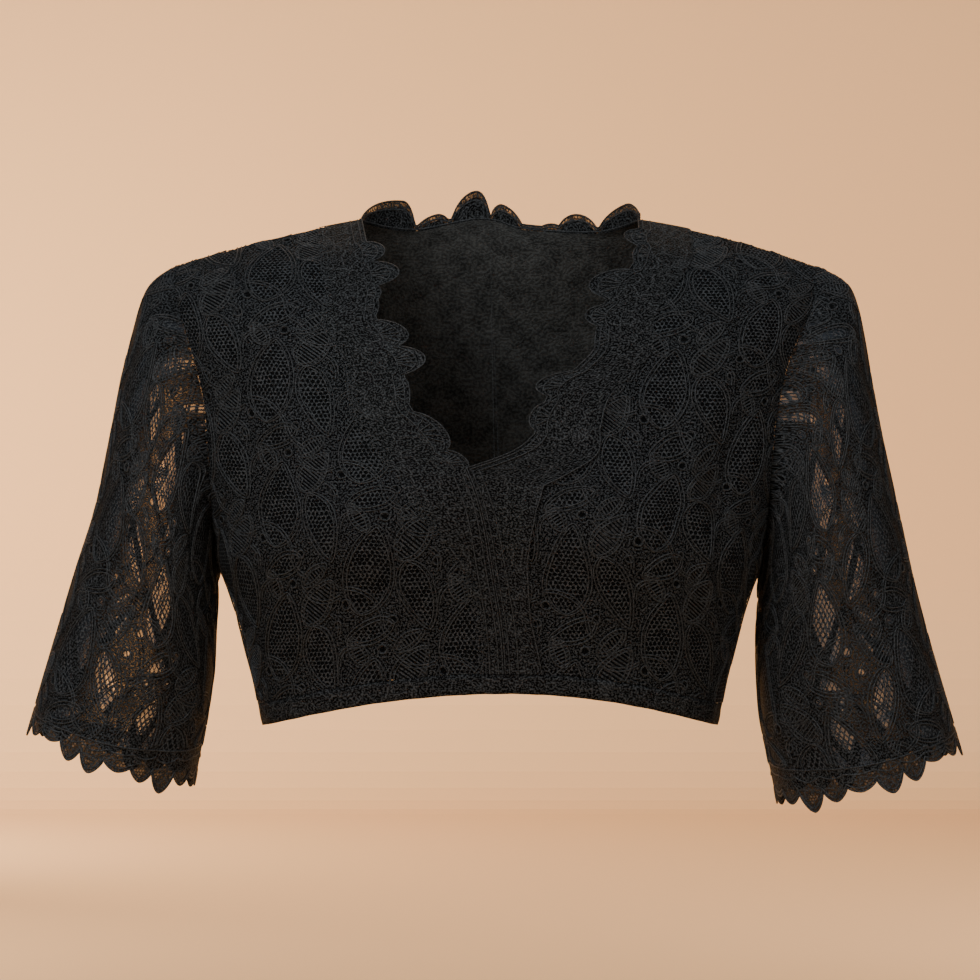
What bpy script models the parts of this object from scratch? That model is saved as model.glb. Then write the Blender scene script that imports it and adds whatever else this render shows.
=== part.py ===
"""Black lace dirndl blouse: cropped, V neck, flared sleeves to the elbow, worn form with no wearer.

The frame: +Z up, the front faces -Y, +X is the wearer's left. The origin lies between the neck
points, at the height where the shoulders carry the blouse. Tables are in millimetres.
"""

import bmesh
import bpy
import numpy as np

MM = 0.001

# Cloth
LACE_WALL = 1.2
LINING_WALL = 1.0
BORDER_WALL = 1.2
CASING_WALL = 2.6
SEAM_GAP = 0.4
LAYER_GAP = 0.45
LINING_GAP = 1.0
ARMHOLE_GAP = 0.5
UNDERARM_CLEARANCE = 1.7
UNDERARM_POWER = 1.5
NAPE_GAP = 1.15
# Below this height the front and the back meet at the side seams.
ARMHOLE_FOOT = -206
LINING_TOP_SHARE = 0.25
LINING_ARMHOLE_SHARE = 0.4
WELD_M = 1e-6

# Body: one row for each level, from the hem to the shoulder seam.
# inner_x, inner_z: centre front line, then the edge of the V. outer_x, outer_z: side seam, then armhole.
# depth: how far the front stands forward. spread: how far the section would go on past the armhole.
# bow: how much the middle of the row rises above a straight line.
FRONT_LOWER = (
    # inner_x, inner_z, outer_x, outer_z, depth, spread, bow
    (10, -296, 148, -320, 88, 0.000, 6),
    (9, -283, 151, -306, 90, 0.000, 6),
    (8, -265, 154, -291, 94, 0.000, 5),
    (6, -247, 158, -276, 99, 0.000, 4),
    (3, -229, 162, -260, 105, 0.000, 3),
    (0, -211, 166, -245, 110, 0.000, 2),
    (-3, -193, 171, -230, 115, 0.000, 1),
    (-8, -172, 177, -214, 117, 0.000, 0),
    (-15, -154, 178, -196, 116, 0.012, 0),
)
UNDERARM_ROW = 7
FRONT_UPPER_RIGHT = (
    (-15, -154, -178, -196, 116, 0.012, 0),
    (-25, -145, -179, -180, 114, 0.030, 0),
    (-38, -132, -180, -160, 111, 0.050, 0),
    (-52, -113, -182, -135, 106, 0.060, 0),
    (-55, -94, -184, -112, 99, 0.060, 0),
    (-63, -76, -189, -90, 91, 0.055, 0),
    (-73, -59, -195, -71, 81, 0.050, 0),
    (-72, -40, -201, -52, 66, 0.040, 0),
    (-79, -15, -205, -35, 41, 0.030, 1),
    (-85, 9, -205, -20, 0, 0.030, 2),
)
FRONT_UPPER_LEFT = (
    (-15, -154, 178, -196, 116, 0.012, 0),
    (6, -147, 179, -180, 114, 0.030, 0),
    (25, -138, 180, -162, 111, 0.050, 0),
    (32, -123, 182, -142, 107, 0.060, 0),
    (39, -105, 184, -120, 102, 0.060, 0),
    (56, -90, 188, -101, 95, 0.058, 0),
    (68, -76, 193, -84, 88, 0.052, 0),
    (70, -56, 201, -65, 76, 0.045, 0),
    (82, -37, 208, -49, 62, 0.038, 0),
    (97, -15, 211, -34, 40, 0.030, 1),
    (98, 9, 211, -20, 0, 0.030, 3),
)
LOWER_CELLS = 8
UPPER_CELLS = 15
SECTION_POWER = 2.4
SHOULDER_SEAM_Y = 5
# The front leans back to the shoulder seam from this height up.
SHOULDER_TURN_Z = -60
# Folds fade towards the side of a section, and where it stands out less than this.
SIDE_FADE = 1.6
FULL_DEPTH = 80

# Columns of a front half: the first ones lie under the border, the others reach the side.
BORDER_COLUMNS = (0.0, 0.09, 0.18, 0.27)
SIDE_CELLS = 7

# Bust and folds of the body: centre x and z, reach across and along, depth, and the lean in degrees.
FRONT_FORM = (
    # x, z, across, along, depth, lean
    (-88, -188, 52, 46, 7.0, 0),
    (86, -188, 52, 46, 7.0, 0),
    (4, -196, 26, 42, -3.5, 0),
    (120, -186, 9, 44, -2.6, 8),
    (-70, -235, 10, 40, -2.4, -12),
    (150, -150, 11, 44, -3.0, -18),
    (-152, -140, 11, 48, -2.4, 14),
)
BACK_FORM = (
    (0, -150, 16, 90, -3.0, 0),
    (-88, -110, 46, 50, 4.0, 0),
    (88, -110, 46, 50, 4.0, 0),
    (-110, -215, 10, 48, -2.6, 14),
    (105, -225, 10, 44, -2.6, -12),
)

# Back: half width and depth at each level, from the hem to the neck. The armhole heights are the front's.
BACK_ROWS = (
    # side_x, side_z, middle_z, depth, spread
    (148, -320, -304, 80, 0.000),
    (151, -306, -291, 81, 0.000),
    (157, -278, -264, 84, 0.000),
    (164, -251, -238, 88, 0.000),
    (170, -231, -216, 91, 0.000),
    (177, -214, -196, 93, 0.000),
    (178, -196, -172, 95, 0.014),
    (179, -180, -150, 96, 0.034),
    (181, -150, -118, 96, 0.055),
    (184, -118, -86, 94, 0.062),
    (190, -88, -56, 90, 0.058),
    (201, -60, -30, 82, 0.046),
    (208, -38, -9, 74, 0.032),
    (208, -20, 9, 64, 0.030),
)
BACK_UNDERARM_KEY = 5
BACK_LOWER_CELLS = 6
BACK_UPPER_CELLS = 16
SHOULDER_CELLS = 4
NECK_CELLS = 10
# Share of the half width that the neck takes, and how the levels bend between side and middle.
NECK_SHARE = 0.46
LEVEL_POWER = 2.2
# How soon on the way up the back takes the seam's own width, height and depth.
WIDTH_BLEND_POWER = 1.5
HEIGHT_BLEND_POWER = 3
SHOULDER_TURN_POWER = 3.6
NECK_TURN_POWER = 2.2
NECK_RIGHT_X, NECK_LEFT_X, NECK_Z = -85, 98, 9
SHOULDER_RIGHT_X, SHOULDER_LEFT_X, SHOULDER_Z = -205, 211, -20
NECK_DEPTH = 60
# Height of the back neck seam along the neck.
BACK_NECK = (
    # x, z
    (-85, 9),
    (-64, 6),
    (-47, 6),
    (-30, 10),
    (-10, 14),
    (5, 13),
    (20, 8),
    (50, 5),
    (76, 4),
    (98, 9),
)

# Scallops: place of the tip, half width and reach. Along the V the place is a height, at the back neck an x.
SCALLOPS_RIGHT = (
    # at, half_width, reach
    (-13, 7, 12),
    (-28, 8, 17),
    (-41, 5, 3),
    (-51, 6, 3),
    (-68, 9, 16),
    (-85, 9, 18),
    (-105, 9, 4),
    (-130, 12, 11),
    (-148, 6, 6),
)
SCALLOPS_LEFT = (
    (-3, 6, 12),
    (-14, 6, 5),
    (-35, 10, 19),
    (-56, 7, 10),
    (-70, 8, 3),
    (-100, 8, 13),
    (-121, 9, 8),
    (-138, 7, 3),
)
SCALLOPS_BACK = (
    (-59, 14, 20),
    (-33, 13, 10),
    (-9, 14, 18),
    (10, 11, 12),
    (27, 8, 5),
    (41, 9, 10),
    (58, 13, 15),
    (75, 9, 9),
    (88, 10, 15),
)
LEAST_REACH = 1.5
LOBE_POWER = 0.6
# Width of the border on the panel, by the height of its inner edge.
BAND_RIGHT = (
    # z, width
    (-296, 16),
    (-247, 16),
    (-229, 18),
    (-211, 22),
    (-193, 31),
    (-172, 40),
    (-154, 42),
    (-132, 38),
    (-94, 36),
    (-40, 34),
    (9, 30),
)
BAND_LEFT = (
    (-296, 26),
    (-265, 22),
    (-247, 20),
    (-211, 24),
    (-193, 29),
    (-172, 38),
    (-154, 50),
    (-145, 46),
    (-123, 38),
    (-90, 36),
    (9, 34),
)
BORDER_SHARES = (0.0, 0.2, 0.45, 0.72, 1.0)
BORDER_ROW_SPLIT = 2
STANDING_LEAN = 0.1
BACK_BORDER_ROWS = 2
BACK_BORDER_SPLIT = 4

# Sleeves: outer and inner outline seen from the front, half depth, and how much of the armhole's own
# shape is left in the ring.
SLEEVE_RIGHT = (
    # outer_x, outer_z, inner_x, inner_z, half_depth, armhole_share
    (-205, -20, -177, -214, 46, 1.00),
    (-214, -25, -178, -217, 49, 0.85),
    (-224, -35, -178, -221, 53, 0.68),
    (-229, -47, -178, -226, 56, 0.50),
    (-233, -62, -179, -232, 58, 0.34),
    (-240, -89, -179, -243, 60, 0.18),
    (-247, -125, -180, -257, 62, 0.06),
    (-258, -178, -181, -277, 62, 0.00),
    (-270, -216, -182, -291, 62, 0.00),
    (-284, -262, -185, -308, 62, 0.00),
    (-298, -309, -190, -333, 63, 0.00),
)
SLEEVE_LEFT = (
    (211, -20, 177, -214, 46, 1.00),
    (222, -24, 177, -218, 49, 0.85),
    (234, -32, 177, -222, 53, 0.68),
    (240, -45, 177, -227, 56, 0.50),
    (244, -63, 176, -233, 58, 0.34),
    (249, -92, 176, -244, 60, 0.18),
    (256, -130, 175, -258, 62, 0.06),
    (267, -180, 175, -278, 63, 0.00),
    (278, -230, 176, -296, 64, 0.00),
    (291, -278, 178, -316, 65, 0.00),
    (304, -322, 184, -345, 66, 0.00),
)
SLEEVE_RINGS = 11
SLEEVE_HEM_DROP = 8
FOLD_GROWTH = 1.3
# Lengthwise folds of a sleeve: place round it in degrees, width in degrees, depth at the hem.
SLEEVE_FOLDS = (
    # around, width, depth
    (62, 14, -3.6),
    (96, 13, 3.0),
    (128, 14, -3.2),
    (205, 18, 3.0),
    (246, 16, -4.0),
    (290, 18, 3.2),
)
# Edging: its depth is greater on the inner side of the arm. Every third scallop is smaller.
EDGING_DEPTH = 11.5
EDGING_SLANT = 6.5
EDGING_SPLIT = 4
EDGING_SCALLOPS = 20
EDGING_REACH = 8.0
EDGING_SMALLER = 0.35
EDGING_LOBE_POWER = 0.7

COLLECTION = "lace_dirndl_blouse"


def clear_scene():
    for obj in list(bpy.data.objects):
        bpy.data.objects.remove(obj, do_unlink=True)


def cloth_material(name, colour, roughness):
    """A plain near-black cloth."""
    material = bpy.data.materials.new(name)
    material.use_nodes = True
    shader = material.node_tree.nodes["Principled BSDF"]
    shader.inputs["Base Color"].default_value = (*colour, 1.0)
    shader.inputs["Roughness"].default_value = roughness
    shader.inputs["Metallic"].default_value = 0.0
    return material


def smooth_rows(table, cells):
    """The table's rows read from a Catmull-Rom curve, cells + 1 of them, evenly spaced in row number."""
    keys = np.array(table, float)
    padded = np.vstack([2 * keys[0] - keys[1], keys, 2 * keys[-1] - keys[-2]])
    rows = []
    for place in np.linspace(0, len(keys) - 1, cells + 1):
        start = min(int(place), len(keys) - 2)
        t = place - start
        before, first, second, after = padded[start : start + 4]
        rows.append(
            first
            + 0.5 * t * (second - before)
            + t * t * (before - 2.5 * first + 2 * second - 0.5 * after)
            + t**3 * (1.5 * (first - second) + 0.5 * (after - before))
        )
    return np.array(rows)


def section(x, half_width):
    """How far a section stands out at x, as a share of its depth: 1 in the middle, 0 at its side."""
    share = np.clip(np.abs(x) / half_width, 0, 1)
    return (1 - share**SECTION_POWER) ** (1 / SECTION_POWER)


def form(x, z, table):
    """Bust, hollows and folds: soft hills and troughs laid over the plain surface."""
    total = np.zeros_like(x)
    for at_x, at_z, across, along, depth, lean in table:
        turn = np.radians(lean)
        side = (x - at_x) * np.cos(turn) + (z - at_z) * np.sin(turn)
        length = -(x - at_x) * np.sin(turn) + (z - at_z) * np.cos(turn)
        total += depth * np.exp(-((side / across) ** 2) - (length / along) ** 2)
    return total


def scallop_reach(at, table):
    """Reach of the scalloped edge: each scallop is a rounded lobe."""
    reach = np.zeros_like(at)
    for tip, half_width, length in table:
        share = np.clip(np.abs(at - tip) / half_width, 0, 1)
        reach = np.maximum(reach, length * (1 - share**2) ** LOBE_POWER)
    return reach


def normals_of(grid, closed=False):
    """Unit normals of a grid of points, along (across the columns) x (up the rows)."""
    if closed:
        ring = np.concatenate([grid[:, -1:], grid, grid[:, :1]], axis=1)
        across = ring[:, 2:] - ring[:, :-2]
    else:
        across = np.gradient(grid, axis=1)
    up = np.gradient(grid, axis=0)
    normal = np.cross(across, up)
    return normal / np.maximum(np.linalg.norm(normal, axis=2, keepdims=True), 1e-9)


def moved_out(grid, outward, distance, closed=False):
    """The grid's points moved along their normals, to the side that outward (+1 or -1) gives."""
    return grid + normals_of(grid, closed) * outward * distance


def front_half(upper):
    """Points of one half of the front, a row for each level from hem to shoulder."""
    sign = 1.0 if upper[-1][2] > 0 else -1.0
    lower = smooth_rows(FRONT_LOWER, LOWER_CELLS)
    lower[:, 2] *= sign
    rows = np.vstack([lower, smooth_rows(upper, UPPER_CELLS)[1:]])
    rest = np.linspace(0, 1, SIDE_CELLS + 1)[1:]
    start = BORDER_COLUMNS[-1]
    shares = np.concatenate([BORDER_COLUMNS, start + (1 - start) * np.sin(rest * np.pi / 2)])
    points = np.zeros((len(rows), len(shares), 3))
    for i, (inner_x, inner_z, outer_x, outer_z, depth, spread, bow) in enumerate(rows):
        x = inner_x + (outer_x - inner_x) * shares
        z = inner_z + (outer_z - inner_z) * shares + bow * 4 * shares * (1 - shares)
        half_width = abs(outer_x) * (1 + max(spread, 0))
        level = section(x, half_width)
        fullness = form(x, z, FRONT_FORM) * np.clip(level * SIDE_FADE, 0, 1) * min(1, depth / FULL_DEPTH)
        rise = np.clip((z - SHOULDER_TURN_Z) / (NECK_Z - SHOULDER_TURN_Z), 0, 1) ** 2
        points[i, :, 0] = x
        points[i, :, 1] = -np.maximum(depth, 0) * level - fullness + SHOULDER_SEAM_Y * rise
        points[i, :, 2] = z
    points[-1, :, 1] = SHOULDER_SEAM_Y - SEAM_GAP / 2
    return clear_of_side_seam(points, -1), sign


def back_panel():
    """Points of the whole back, from the wearer's right (-X) to the left, a row for each level."""
    lower = smooth_rows(BACK_ROWS[: BACK_UNDERARM_KEY + 1], BACK_LOWER_CELLS)
    rows = np.vstack([lower, smooth_rows(BACK_ROWS[BACK_UNDERARM_KEY:], BACK_UPPER_CELLS)[1:]])
    middle = (NECK_RIGHT_X + NECK_LEFT_X) / 2
    half_neck = (NECK_LEFT_X - NECK_RIGHT_X) / 2
    around = np.linspace(0, np.pi, NECK_CELLS + 1)
    shares = np.concatenate(
        [
            np.linspace(-1, -NECK_SHARE, SHOULDER_CELLS + 1)[:-1],
            np.linspace(-NECK_SHARE, NECK_SHARE, NECK_CELLS + 1),
            np.linspace(NECK_SHARE, 1, SHOULDER_CELLS + 1)[1:],
        ]
    )
    top_x = np.concatenate(
        [
            np.linspace(SHOULDER_RIGHT_X, NECK_RIGHT_X, SHOULDER_CELLS + 1)[:-1],
            middle - half_neck * np.cos(around),
            np.linspace(NECK_LEFT_X, SHOULDER_LEFT_X, SHOULDER_CELLS + 1)[1:],
        ]
    )
    neck = np.array(BACK_NECK, float)
    top_z = np.interp(top_x, neck[:, 0], neck[:, 1])
    top_z = np.where(top_x < NECK_RIGHT_X, shoulder_height(top_x, -1), top_z)
    top_z = np.where(top_x > NECK_LEFT_X, shoulder_height(top_x, 1), top_z)
    dip = np.clip(1 - ((top_x - middle) / half_neck) ** 2, 0, 1) ** 0.5
    top_y = SHOULDER_SEAM_Y + SEAM_GAP / 2 + NECK_DEPTH * dip
    plain_top = rows[-1, 1] + (rows[-1, 2] - rows[-1, 1]) * (1 - np.abs(shares) ** LEVEL_POWER)
    last_x = rows[-1, 0]
    points = np.zeros((len(rows), len(shares), 3))
    for i, (side_x, side_z, middle_z, depth, spread) in enumerate(rows):
        climb = max(0, i - BACK_LOWER_CELLS) / BACK_UPPER_CELLS
        plain_x = side_x * np.sin(shares * np.pi / 2)
        blend = climb**WIDTH_BLEND_POWER
        side_shift = np.where(shares > 0, SHOULDER_LEFT_X - last_x, last_x + SHOULDER_RIGHT_X)
        x = plain_x * (1 - blend) + top_x * blend
        edge = np.abs(shares) > 0.999
        x = np.where(edge, side_x * np.sign(shares) + side_shift * blend, x)
        lift = 1 - np.abs(shares) ** LEVEL_POWER
        z = side_z + (middle_z - side_z) * lift
        z = z + (top_z - plain_top) * climb**HEIGHT_BLEND_POWER
        level = section(x, side_x * (1 + max(spread, 0)))
        y = depth * level + form(x, z, BACK_FORM) * np.clip(level * SIDE_FADE, 0, 1)
        over_shoulder = 1 - (1 - climb**SHOULDER_TURN_POWER) ** 0.5
        lean_in = over_shoulder * (1 - dip) + climb**NECK_TURN_POWER * dip
        points[i, :, 0] = x
        points[i, :, 1] = y * (1 - lean_in) + top_y * lean_in
        points[i, :, 2] = z
    points[-1, :, 1] = top_y
    return clear_of_side_seam(points, 1)


def shoulder_height(x, side):
    """Height of the shoulder seam at x."""
    neck_x = NECK_LEFT_X if side > 0 else NECK_RIGHT_X
    end_x = SHOULDER_LEFT_X if side > 0 else SHOULDER_RIGHT_X
    bow = FRONT_UPPER_LEFT[-1][6] if side > 0 else FRONT_UPPER_RIGHT[-1][6]
    share = np.clip((x - neck_x) / (end_x - neck_x), 0, 1)
    return NECK_Z + (SHOULDER_Z - NECK_Z) * share + bow * 4 * share * (1 - share)


def armhole_edge(points, normals, column, first_row):
    """The armhole edge of a panel from the shoulder down, moved sideways past the outer face of its wall."""
    edge = points[first_row:, column].copy()
    sideways = normals[first_row:, column, 0]
    down = np.linspace(1, 0, len(edge)) ** UNDERARM_POWER
    edge[:, 0] += sideways * LACE_WALL + np.sign(edge[:, 0]) * (ARMHOLE_GAP + down * UNDERARM_CLEARANCE)
    return edge[::-1]


def sleeve_rings(table, front_edge, back_edge):
    """Rings of a sleeve from armhole to hem. A ring starts at the shoulder and runs over the front."""
    armhole = np.vstack([front_edge[:-1], back_edge[::-1][:-1]])
    foot = len(front_edge) - 1
    armhole[0] = (front_edge[0] + back_edge[0]) / 2
    armhole[foot] = (front_edge[-1] + back_edge[-1]) / 2
    over_front = np.linspace(0, np.pi, foot + 1)
    over_back = np.linspace(np.pi, 2 * np.pi, len(back_edge))
    turn = np.concatenate([over_front, over_back[1:-1]])
    rows = smooth_rows(table, SLEEVE_RINGS)

    def ellipse(row):
        outer = np.array([row[0], 0, row[1]])
        inner = np.array([row[2], 0, row[3]])
        centre, arm = (outer + inner) / 2, (outer - inner) / 2
        ring = centre + np.outer(np.cos(turn), arm)
        ring[:, 1] -= row[4] * np.sin(turn)
        return ring

    own_shape = armhole - ellipse(rows[0])
    rings = []
    for i, row in enumerate(rows):
        down = i / (len(rows) - 1)
        ring = ellipse(row) + own_shape * row[5]
        ring[:, 2] -= SLEEVE_HEM_DROP * down**2 * np.abs(np.sin(turn))
        centre = ring.mean(axis=0)
        away = ring - centre
        away /= np.linalg.norm(away, axis=1, keepdims=True)
        for around, width, depth in SLEEVE_FOLDS:
            gap = (np.degrees(turn) - around + 180) % 360 - 180
            ring += away * (depth * down**FOLD_GROWTH * np.exp(-((gap / width) ** 2)))[:, None]
        rings.append(ring)
    return np.array(rings)


def split_columns(grid, parts, closed=False):
    """The same surface with each column cell cut into equal parts, along its own straight edges."""
    if closed:
        grid = np.concatenate([grid, grid[:, :1]], axis=1)
    cells = grid.shape[1] - 1
    places = np.linspace(0, cells, cells * parts + 1)
    start = np.minimum(places.astype(int), cells - 1)
    t = (places - start)[None, :, None]
    split = grid[:, start] * (1 - t) + grid[:, start + 1] * t
    return split[:, :-1] if closed else split


def split_rows(grid, parts):
    return split_columns(grid.transpose(1, 0, 2), parts).transpose(1, 0, 2)


def sheet_object(name, pieces, wall, material, closed=False):
    """A cloth wall: the open surface of one or more grids, thickened outwards by its wall.

    pieces holds (grid, outward) pairs. Their shared edges are welded.
    """
    mesh = bpy.data.meshes.new(name)
    bm = bmesh.new()
    for grid, outward in pieces:
        rows, columns = grid.shape[:2]
        verts = [[bm.verts.new(point * MM) for point in row] for row in grid]
        last = columns if closed else columns - 1
        for r in range(rows - 1):
            for c in range(last):
                d = (c + 1) % columns
                corners = [verts[r][c], verts[r][d], verts[r + 1][d], verts[r + 1][c]]
                bm.faces.new(corners if outward > 0 else corners[::-1])
    bmesh.ops.remove_doubles(bm, verts=bm.verts, dist=WELD_M)
    bm.to_mesh(mesh)
    bm.free()
    mesh.shade_smooth()
    obj = bpy.data.objects.new(name, mesh)
    bpy.data.collections[COLLECTION].objects.link(obj)
    obj.data.materials.append(material)
    solidify = obj.modifiers.new("wall", "SOLIDIFY")
    solidify.thickness = wall * MM
    solidify.offset = 1.0
    solidify.use_even_offset = True
    return obj


def clear_of_side_seam(grid, side):
    """The grid with nothing past its side seam: side is -1 for the front and +1 for the back."""
    low = grid[..., 2] < ARMHOLE_FOOT
    limit = SEAM_GAP / 2
    held = np.maximum(grid[..., 1] * side, limit) * side
    grid[..., 1] = np.where(low, held, grid[..., 1])
    return grid


def front_layer(halves, distance):
    """Both halves of the front moved out by a distance, with one shared line down the centre front."""
    right, left = (moved_out(points, way, distance) for points, way in halves)
    shared = (right[: LOWER_CELLS + 1, 0] + left[: LOWER_CELLS + 1, 0]) / 2
    right[: LOWER_CELLS + 1, 0] = shared
    left[: LOWER_CELLS + 1, 0] = shared
    return right, left


def lining_grid(inner, side, underarm_row, ends):
    """A lining from the panel's points moved in. It stops short of the shoulder seam and the armholes."""
    inner = clear_of_side_seam(inner.copy(), side)
    inner[-1] = inner[-2] + (inner[-1] - inner[-2]) * LINING_TOP_SHARE
    above = slice(underarm_row + 1, None)
    for end, beside in ends:
        inner[above, end] = inner[above, beside] + LINING_ARMHOLE_SHARE * (
            inner[above, end] - inner[above, beside]
        )
    return inner[1:]


def casing_grid(inner, side):
    """A hem casing: the lowest cells of the panel, thicker, and clear of the lace above it."""
    band = inner[:2].copy()
    band[1, :, 2] -= SEAM_GAP
    return clear_of_side_seam(band, side)


def point_at(row, distance):
    """A point of a row of the panel, at this distance from its first point, or before it where negative."""
    steps = np.linalg.norm(np.diff(row, axis=0), axis=1)
    length = np.concatenate([[0], np.cumsum(steps)])
    if distance < 0:
        return row[0] + (row[0] - row[1]) / steps[0] * -distance
    return np.array([np.interp(distance, length, row[:, k]) for k in range(3)])


def v_border(cover, scallops, band):
    """The border along one side of the V and down the centre front, laid on the panel."""
    upper = split_rows(cover[LOWER_CELLS:], BORDER_ROW_SPLIT)
    rows = np.concatenate([cover[1:LOWER_CELLS], upper])
    below = LOWER_CELLS - 1
    heights = rows[:, 0, 2]
    reach = np.maximum(scallop_reach(heights, scallops), LEAST_REACH)
    reach[: below + 1] = -SEAM_GAP / 2
    band = np.array(band, float)
    widths = np.interp(heights, band[:, 0], band[:, 1])
    grid = []
    for row, edge, width in zip(rows, reach, widths):
        grid.append([point_at(row, -edge + share * (width + edge)) for share in BORDER_SHARES])
    return np.array(grid)


def back_border(points):
    """The border round the back neck: it lies on the back and its scallops stand above the seam."""
    cover = moved_out(points, -1, LACE_WALL + NAPE_GAP)
    neck = cover[-1 - BACK_BORDER_ROWS :, SHOULDER_CELLS : SHOULDER_CELLS + NECK_CELLS + 1]
    neck = split_columns(neck, BACK_BORDER_SPLIT)
    top = neck[-1]
    reach = np.maximum(scallop_reach(top[:, 0], SCALLOPS_BACK), LEAST_REACH)
    standing = [top + np.outer(reach * share, (0, STANDING_LEAN, 1)) for share in (0.5, 1.0)]
    return np.concatenate([neck, standing])


def sleeve_edging(rings):
    """The scalloped edge below a sleeve: a short wall that goes on along the sleeve."""
    last = split_columns(rings[-1:], EDGING_SPLIT, closed=True)[0]
    before = split_columns(rings[-2:-1], EDGING_SPLIT, closed=True)[0]
    along = last - before
    along /= np.linalg.norm(along, axis=1, keepdims=True)
    turn = np.arange(len(last)) / len(last)
    phase = turn * EDGING_SCALLOPS
    lobe = np.abs(np.sin(np.pi * phase)) ** EDGING_LOBE_POWER
    size = 1 - EDGING_SMALLER * (np.floor(phase) % 3 == 1)
    depth = EDGING_DEPTH - EDGING_SLANT * np.cos(2 * np.pi * turn) + EDGING_REACH * lobe * size
    return np.array([last + along * SEAM_GAP, last + along * depth[:, None]])


def build():
    clear_scene()
    collection = bpy.data.collections.new(COLLECTION)
    bpy.context.scene.collection.children.link(collection)
    lace = cloth_material("black_lace", (0.012, 0.011, 0.011), 0.75)
    jersey = cloth_material("black_jersey", (0.010, 0.010, 0.010), 0.9)
    galloon = cloth_material("black_galloon", (0.016, 0.015, 0.015), 0.7)

    right, right_way = front_half(FRONT_UPPER_RIGHT)
    left, left_way = front_half(FRONT_UPPER_LEFT)
    halves = ((right, right_way), (left, left_way))
    back = back_panel()

    sheet_object("front", [(half[1:], way) for half, way in halves], LACE_WALL, lace)
    sheet_object("back", [(back[1:], -1)], LACE_WALL, lace)

    ways = (right_way, left_way)
    inner = front_layer(halves, -(LINING_WALL + LINING_GAP))
    linings = [(lining_grid(half, -1, UNDERARM_ROW, ((-1, -2),)), way) for half, way in zip(inner, ways)]
    sheet_object("front_lining", linings, LINING_WALL, jersey)
    inner = front_layer(halves, LACE_WALL - CASING_WALL)
    casings = [(casing_grid(half, -1), way) for half, way in zip(inner, ways)]
    sheet_object("hem_casing_front", casings, CASING_WALL, galloon)
    inner = moved_out(back, -1, -(LINING_WALL + LINING_GAP))
    inner = lining_grid(inner, 1, BACK_LOWER_CELLS, ((-1, -2), (0, 1)))
    sheet_object("back_lining", [(inner, -1)], LINING_WALL, jersey)
    inner = moved_out(back, -1, LACE_WALL - CASING_WALL)
    sheet_object("hem_casing_back", [(casing_grid(inner, 1), -1)], CASING_WALL, galloon)

    covers = front_layer(halves, LACE_WALL + LAYER_GAP)
    arms = (
        ("right", covers[0], right_way, SCALLOPS_RIGHT, BAND_RIGHT),
        ("left", covers[1], left_way, SCALLOPS_LEFT, BAND_LEFT),
    )
    for name, cover, way, scallops, band in arms:
        border = v_border(cover, scallops, band)
        sheet_object(f"neck_border_{name}", [(border, way)], BORDER_WALL, galloon)
    sheet_object("neck_border_back", [(back_border(back), -1)], BORDER_WALL, galloon)

    sides = (("right", right, 0, SLEEVE_RIGHT, -1), ("left", left, -1, SLEEVE_LEFT, 1))
    for name, half, back_column, table, way in sides:
        front_edge = armhole_edge(half, normals_of(half) * way, -1, UNDERARM_ROW)
        back_edge = armhole_edge(back, -normals_of(back), back_column, BACK_LOWER_CELLS)
        rings = sleeve_rings(table, front_edge, back_edge)
        sheet_object(f"sleeve_{name}", [(rings, way)], LACE_WALL, lace, closed=True)
        edging = sleeve_edging(rings)
        sheet_object(f"sleeve_edging_{name}", [(edging, way)], BORDER_WALL, galloon, closed=True)


build()
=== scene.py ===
# %% [markdown]
# # A black lace dirndl blouse
#
# The blouse is cropped, with a deep V neck and flared sleeves, and it keeps the form of a body
# that isn't there. It has three cloths: lace with a net ground, an opaque jersey behind the lace of
# the body, and a dense scalloped border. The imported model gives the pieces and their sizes. This
# script dresses each one, and moves none.

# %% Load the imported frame
import functools
import math

import bmesh
import bpy
import numpy as np
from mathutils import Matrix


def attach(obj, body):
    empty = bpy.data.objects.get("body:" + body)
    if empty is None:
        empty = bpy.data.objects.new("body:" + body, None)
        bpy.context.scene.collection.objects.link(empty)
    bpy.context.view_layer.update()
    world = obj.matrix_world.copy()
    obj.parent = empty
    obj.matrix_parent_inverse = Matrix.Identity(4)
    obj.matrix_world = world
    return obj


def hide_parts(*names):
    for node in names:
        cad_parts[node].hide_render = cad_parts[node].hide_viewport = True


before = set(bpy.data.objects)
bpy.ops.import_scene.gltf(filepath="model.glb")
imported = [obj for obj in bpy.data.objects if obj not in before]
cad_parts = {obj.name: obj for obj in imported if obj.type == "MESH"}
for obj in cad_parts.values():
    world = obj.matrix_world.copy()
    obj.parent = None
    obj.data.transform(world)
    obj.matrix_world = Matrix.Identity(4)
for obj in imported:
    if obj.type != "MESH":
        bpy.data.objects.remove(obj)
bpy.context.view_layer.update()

MM = 0.001
print("nodes:", sorted(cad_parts))

# %% [markdown]
# ## The camera
#
# The photograph looks straight at the blouse from the front, at chest height, from far away, so a
# long lens at 2.6 m gives the same flat perspective. One pixel is 0.655 mm at the shoulder seams.

# %% Camera
IMAGE_WIDTH_PX = 980
MM_PER_PX = 0.655
CAMERA_DISTANCE = 2.6
CAMERA_HEIGHT = -0.167
SENSOR_MM = 36.0


def placed(name, data):
    """An object of this name, in the scene."""
    obj = bpy.data.objects.new(name, data)
    bpy.context.scene.collection.objects.link(obj)
    return obj


def add_camera():
    data = bpy.data.cameras.new("camera")
    data.sensor_width = SENSOR_MM
    data.lens = SENSOR_MM * CAMERA_DISTANCE / (IMAGE_WIDTH_PX * MM_PER_PX * MM)
    camera = placed("camera", data)
    camera.location = (0, -CAMERA_DISTANCE, CAMERA_HEIGHT)
    camera.rotation_euler = (math.radians(90), 0, 0)
    bpy.context.scene.camera = camera
    return data.lens


print("lens:", round(add_camera(), 1), "mm")

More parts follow.
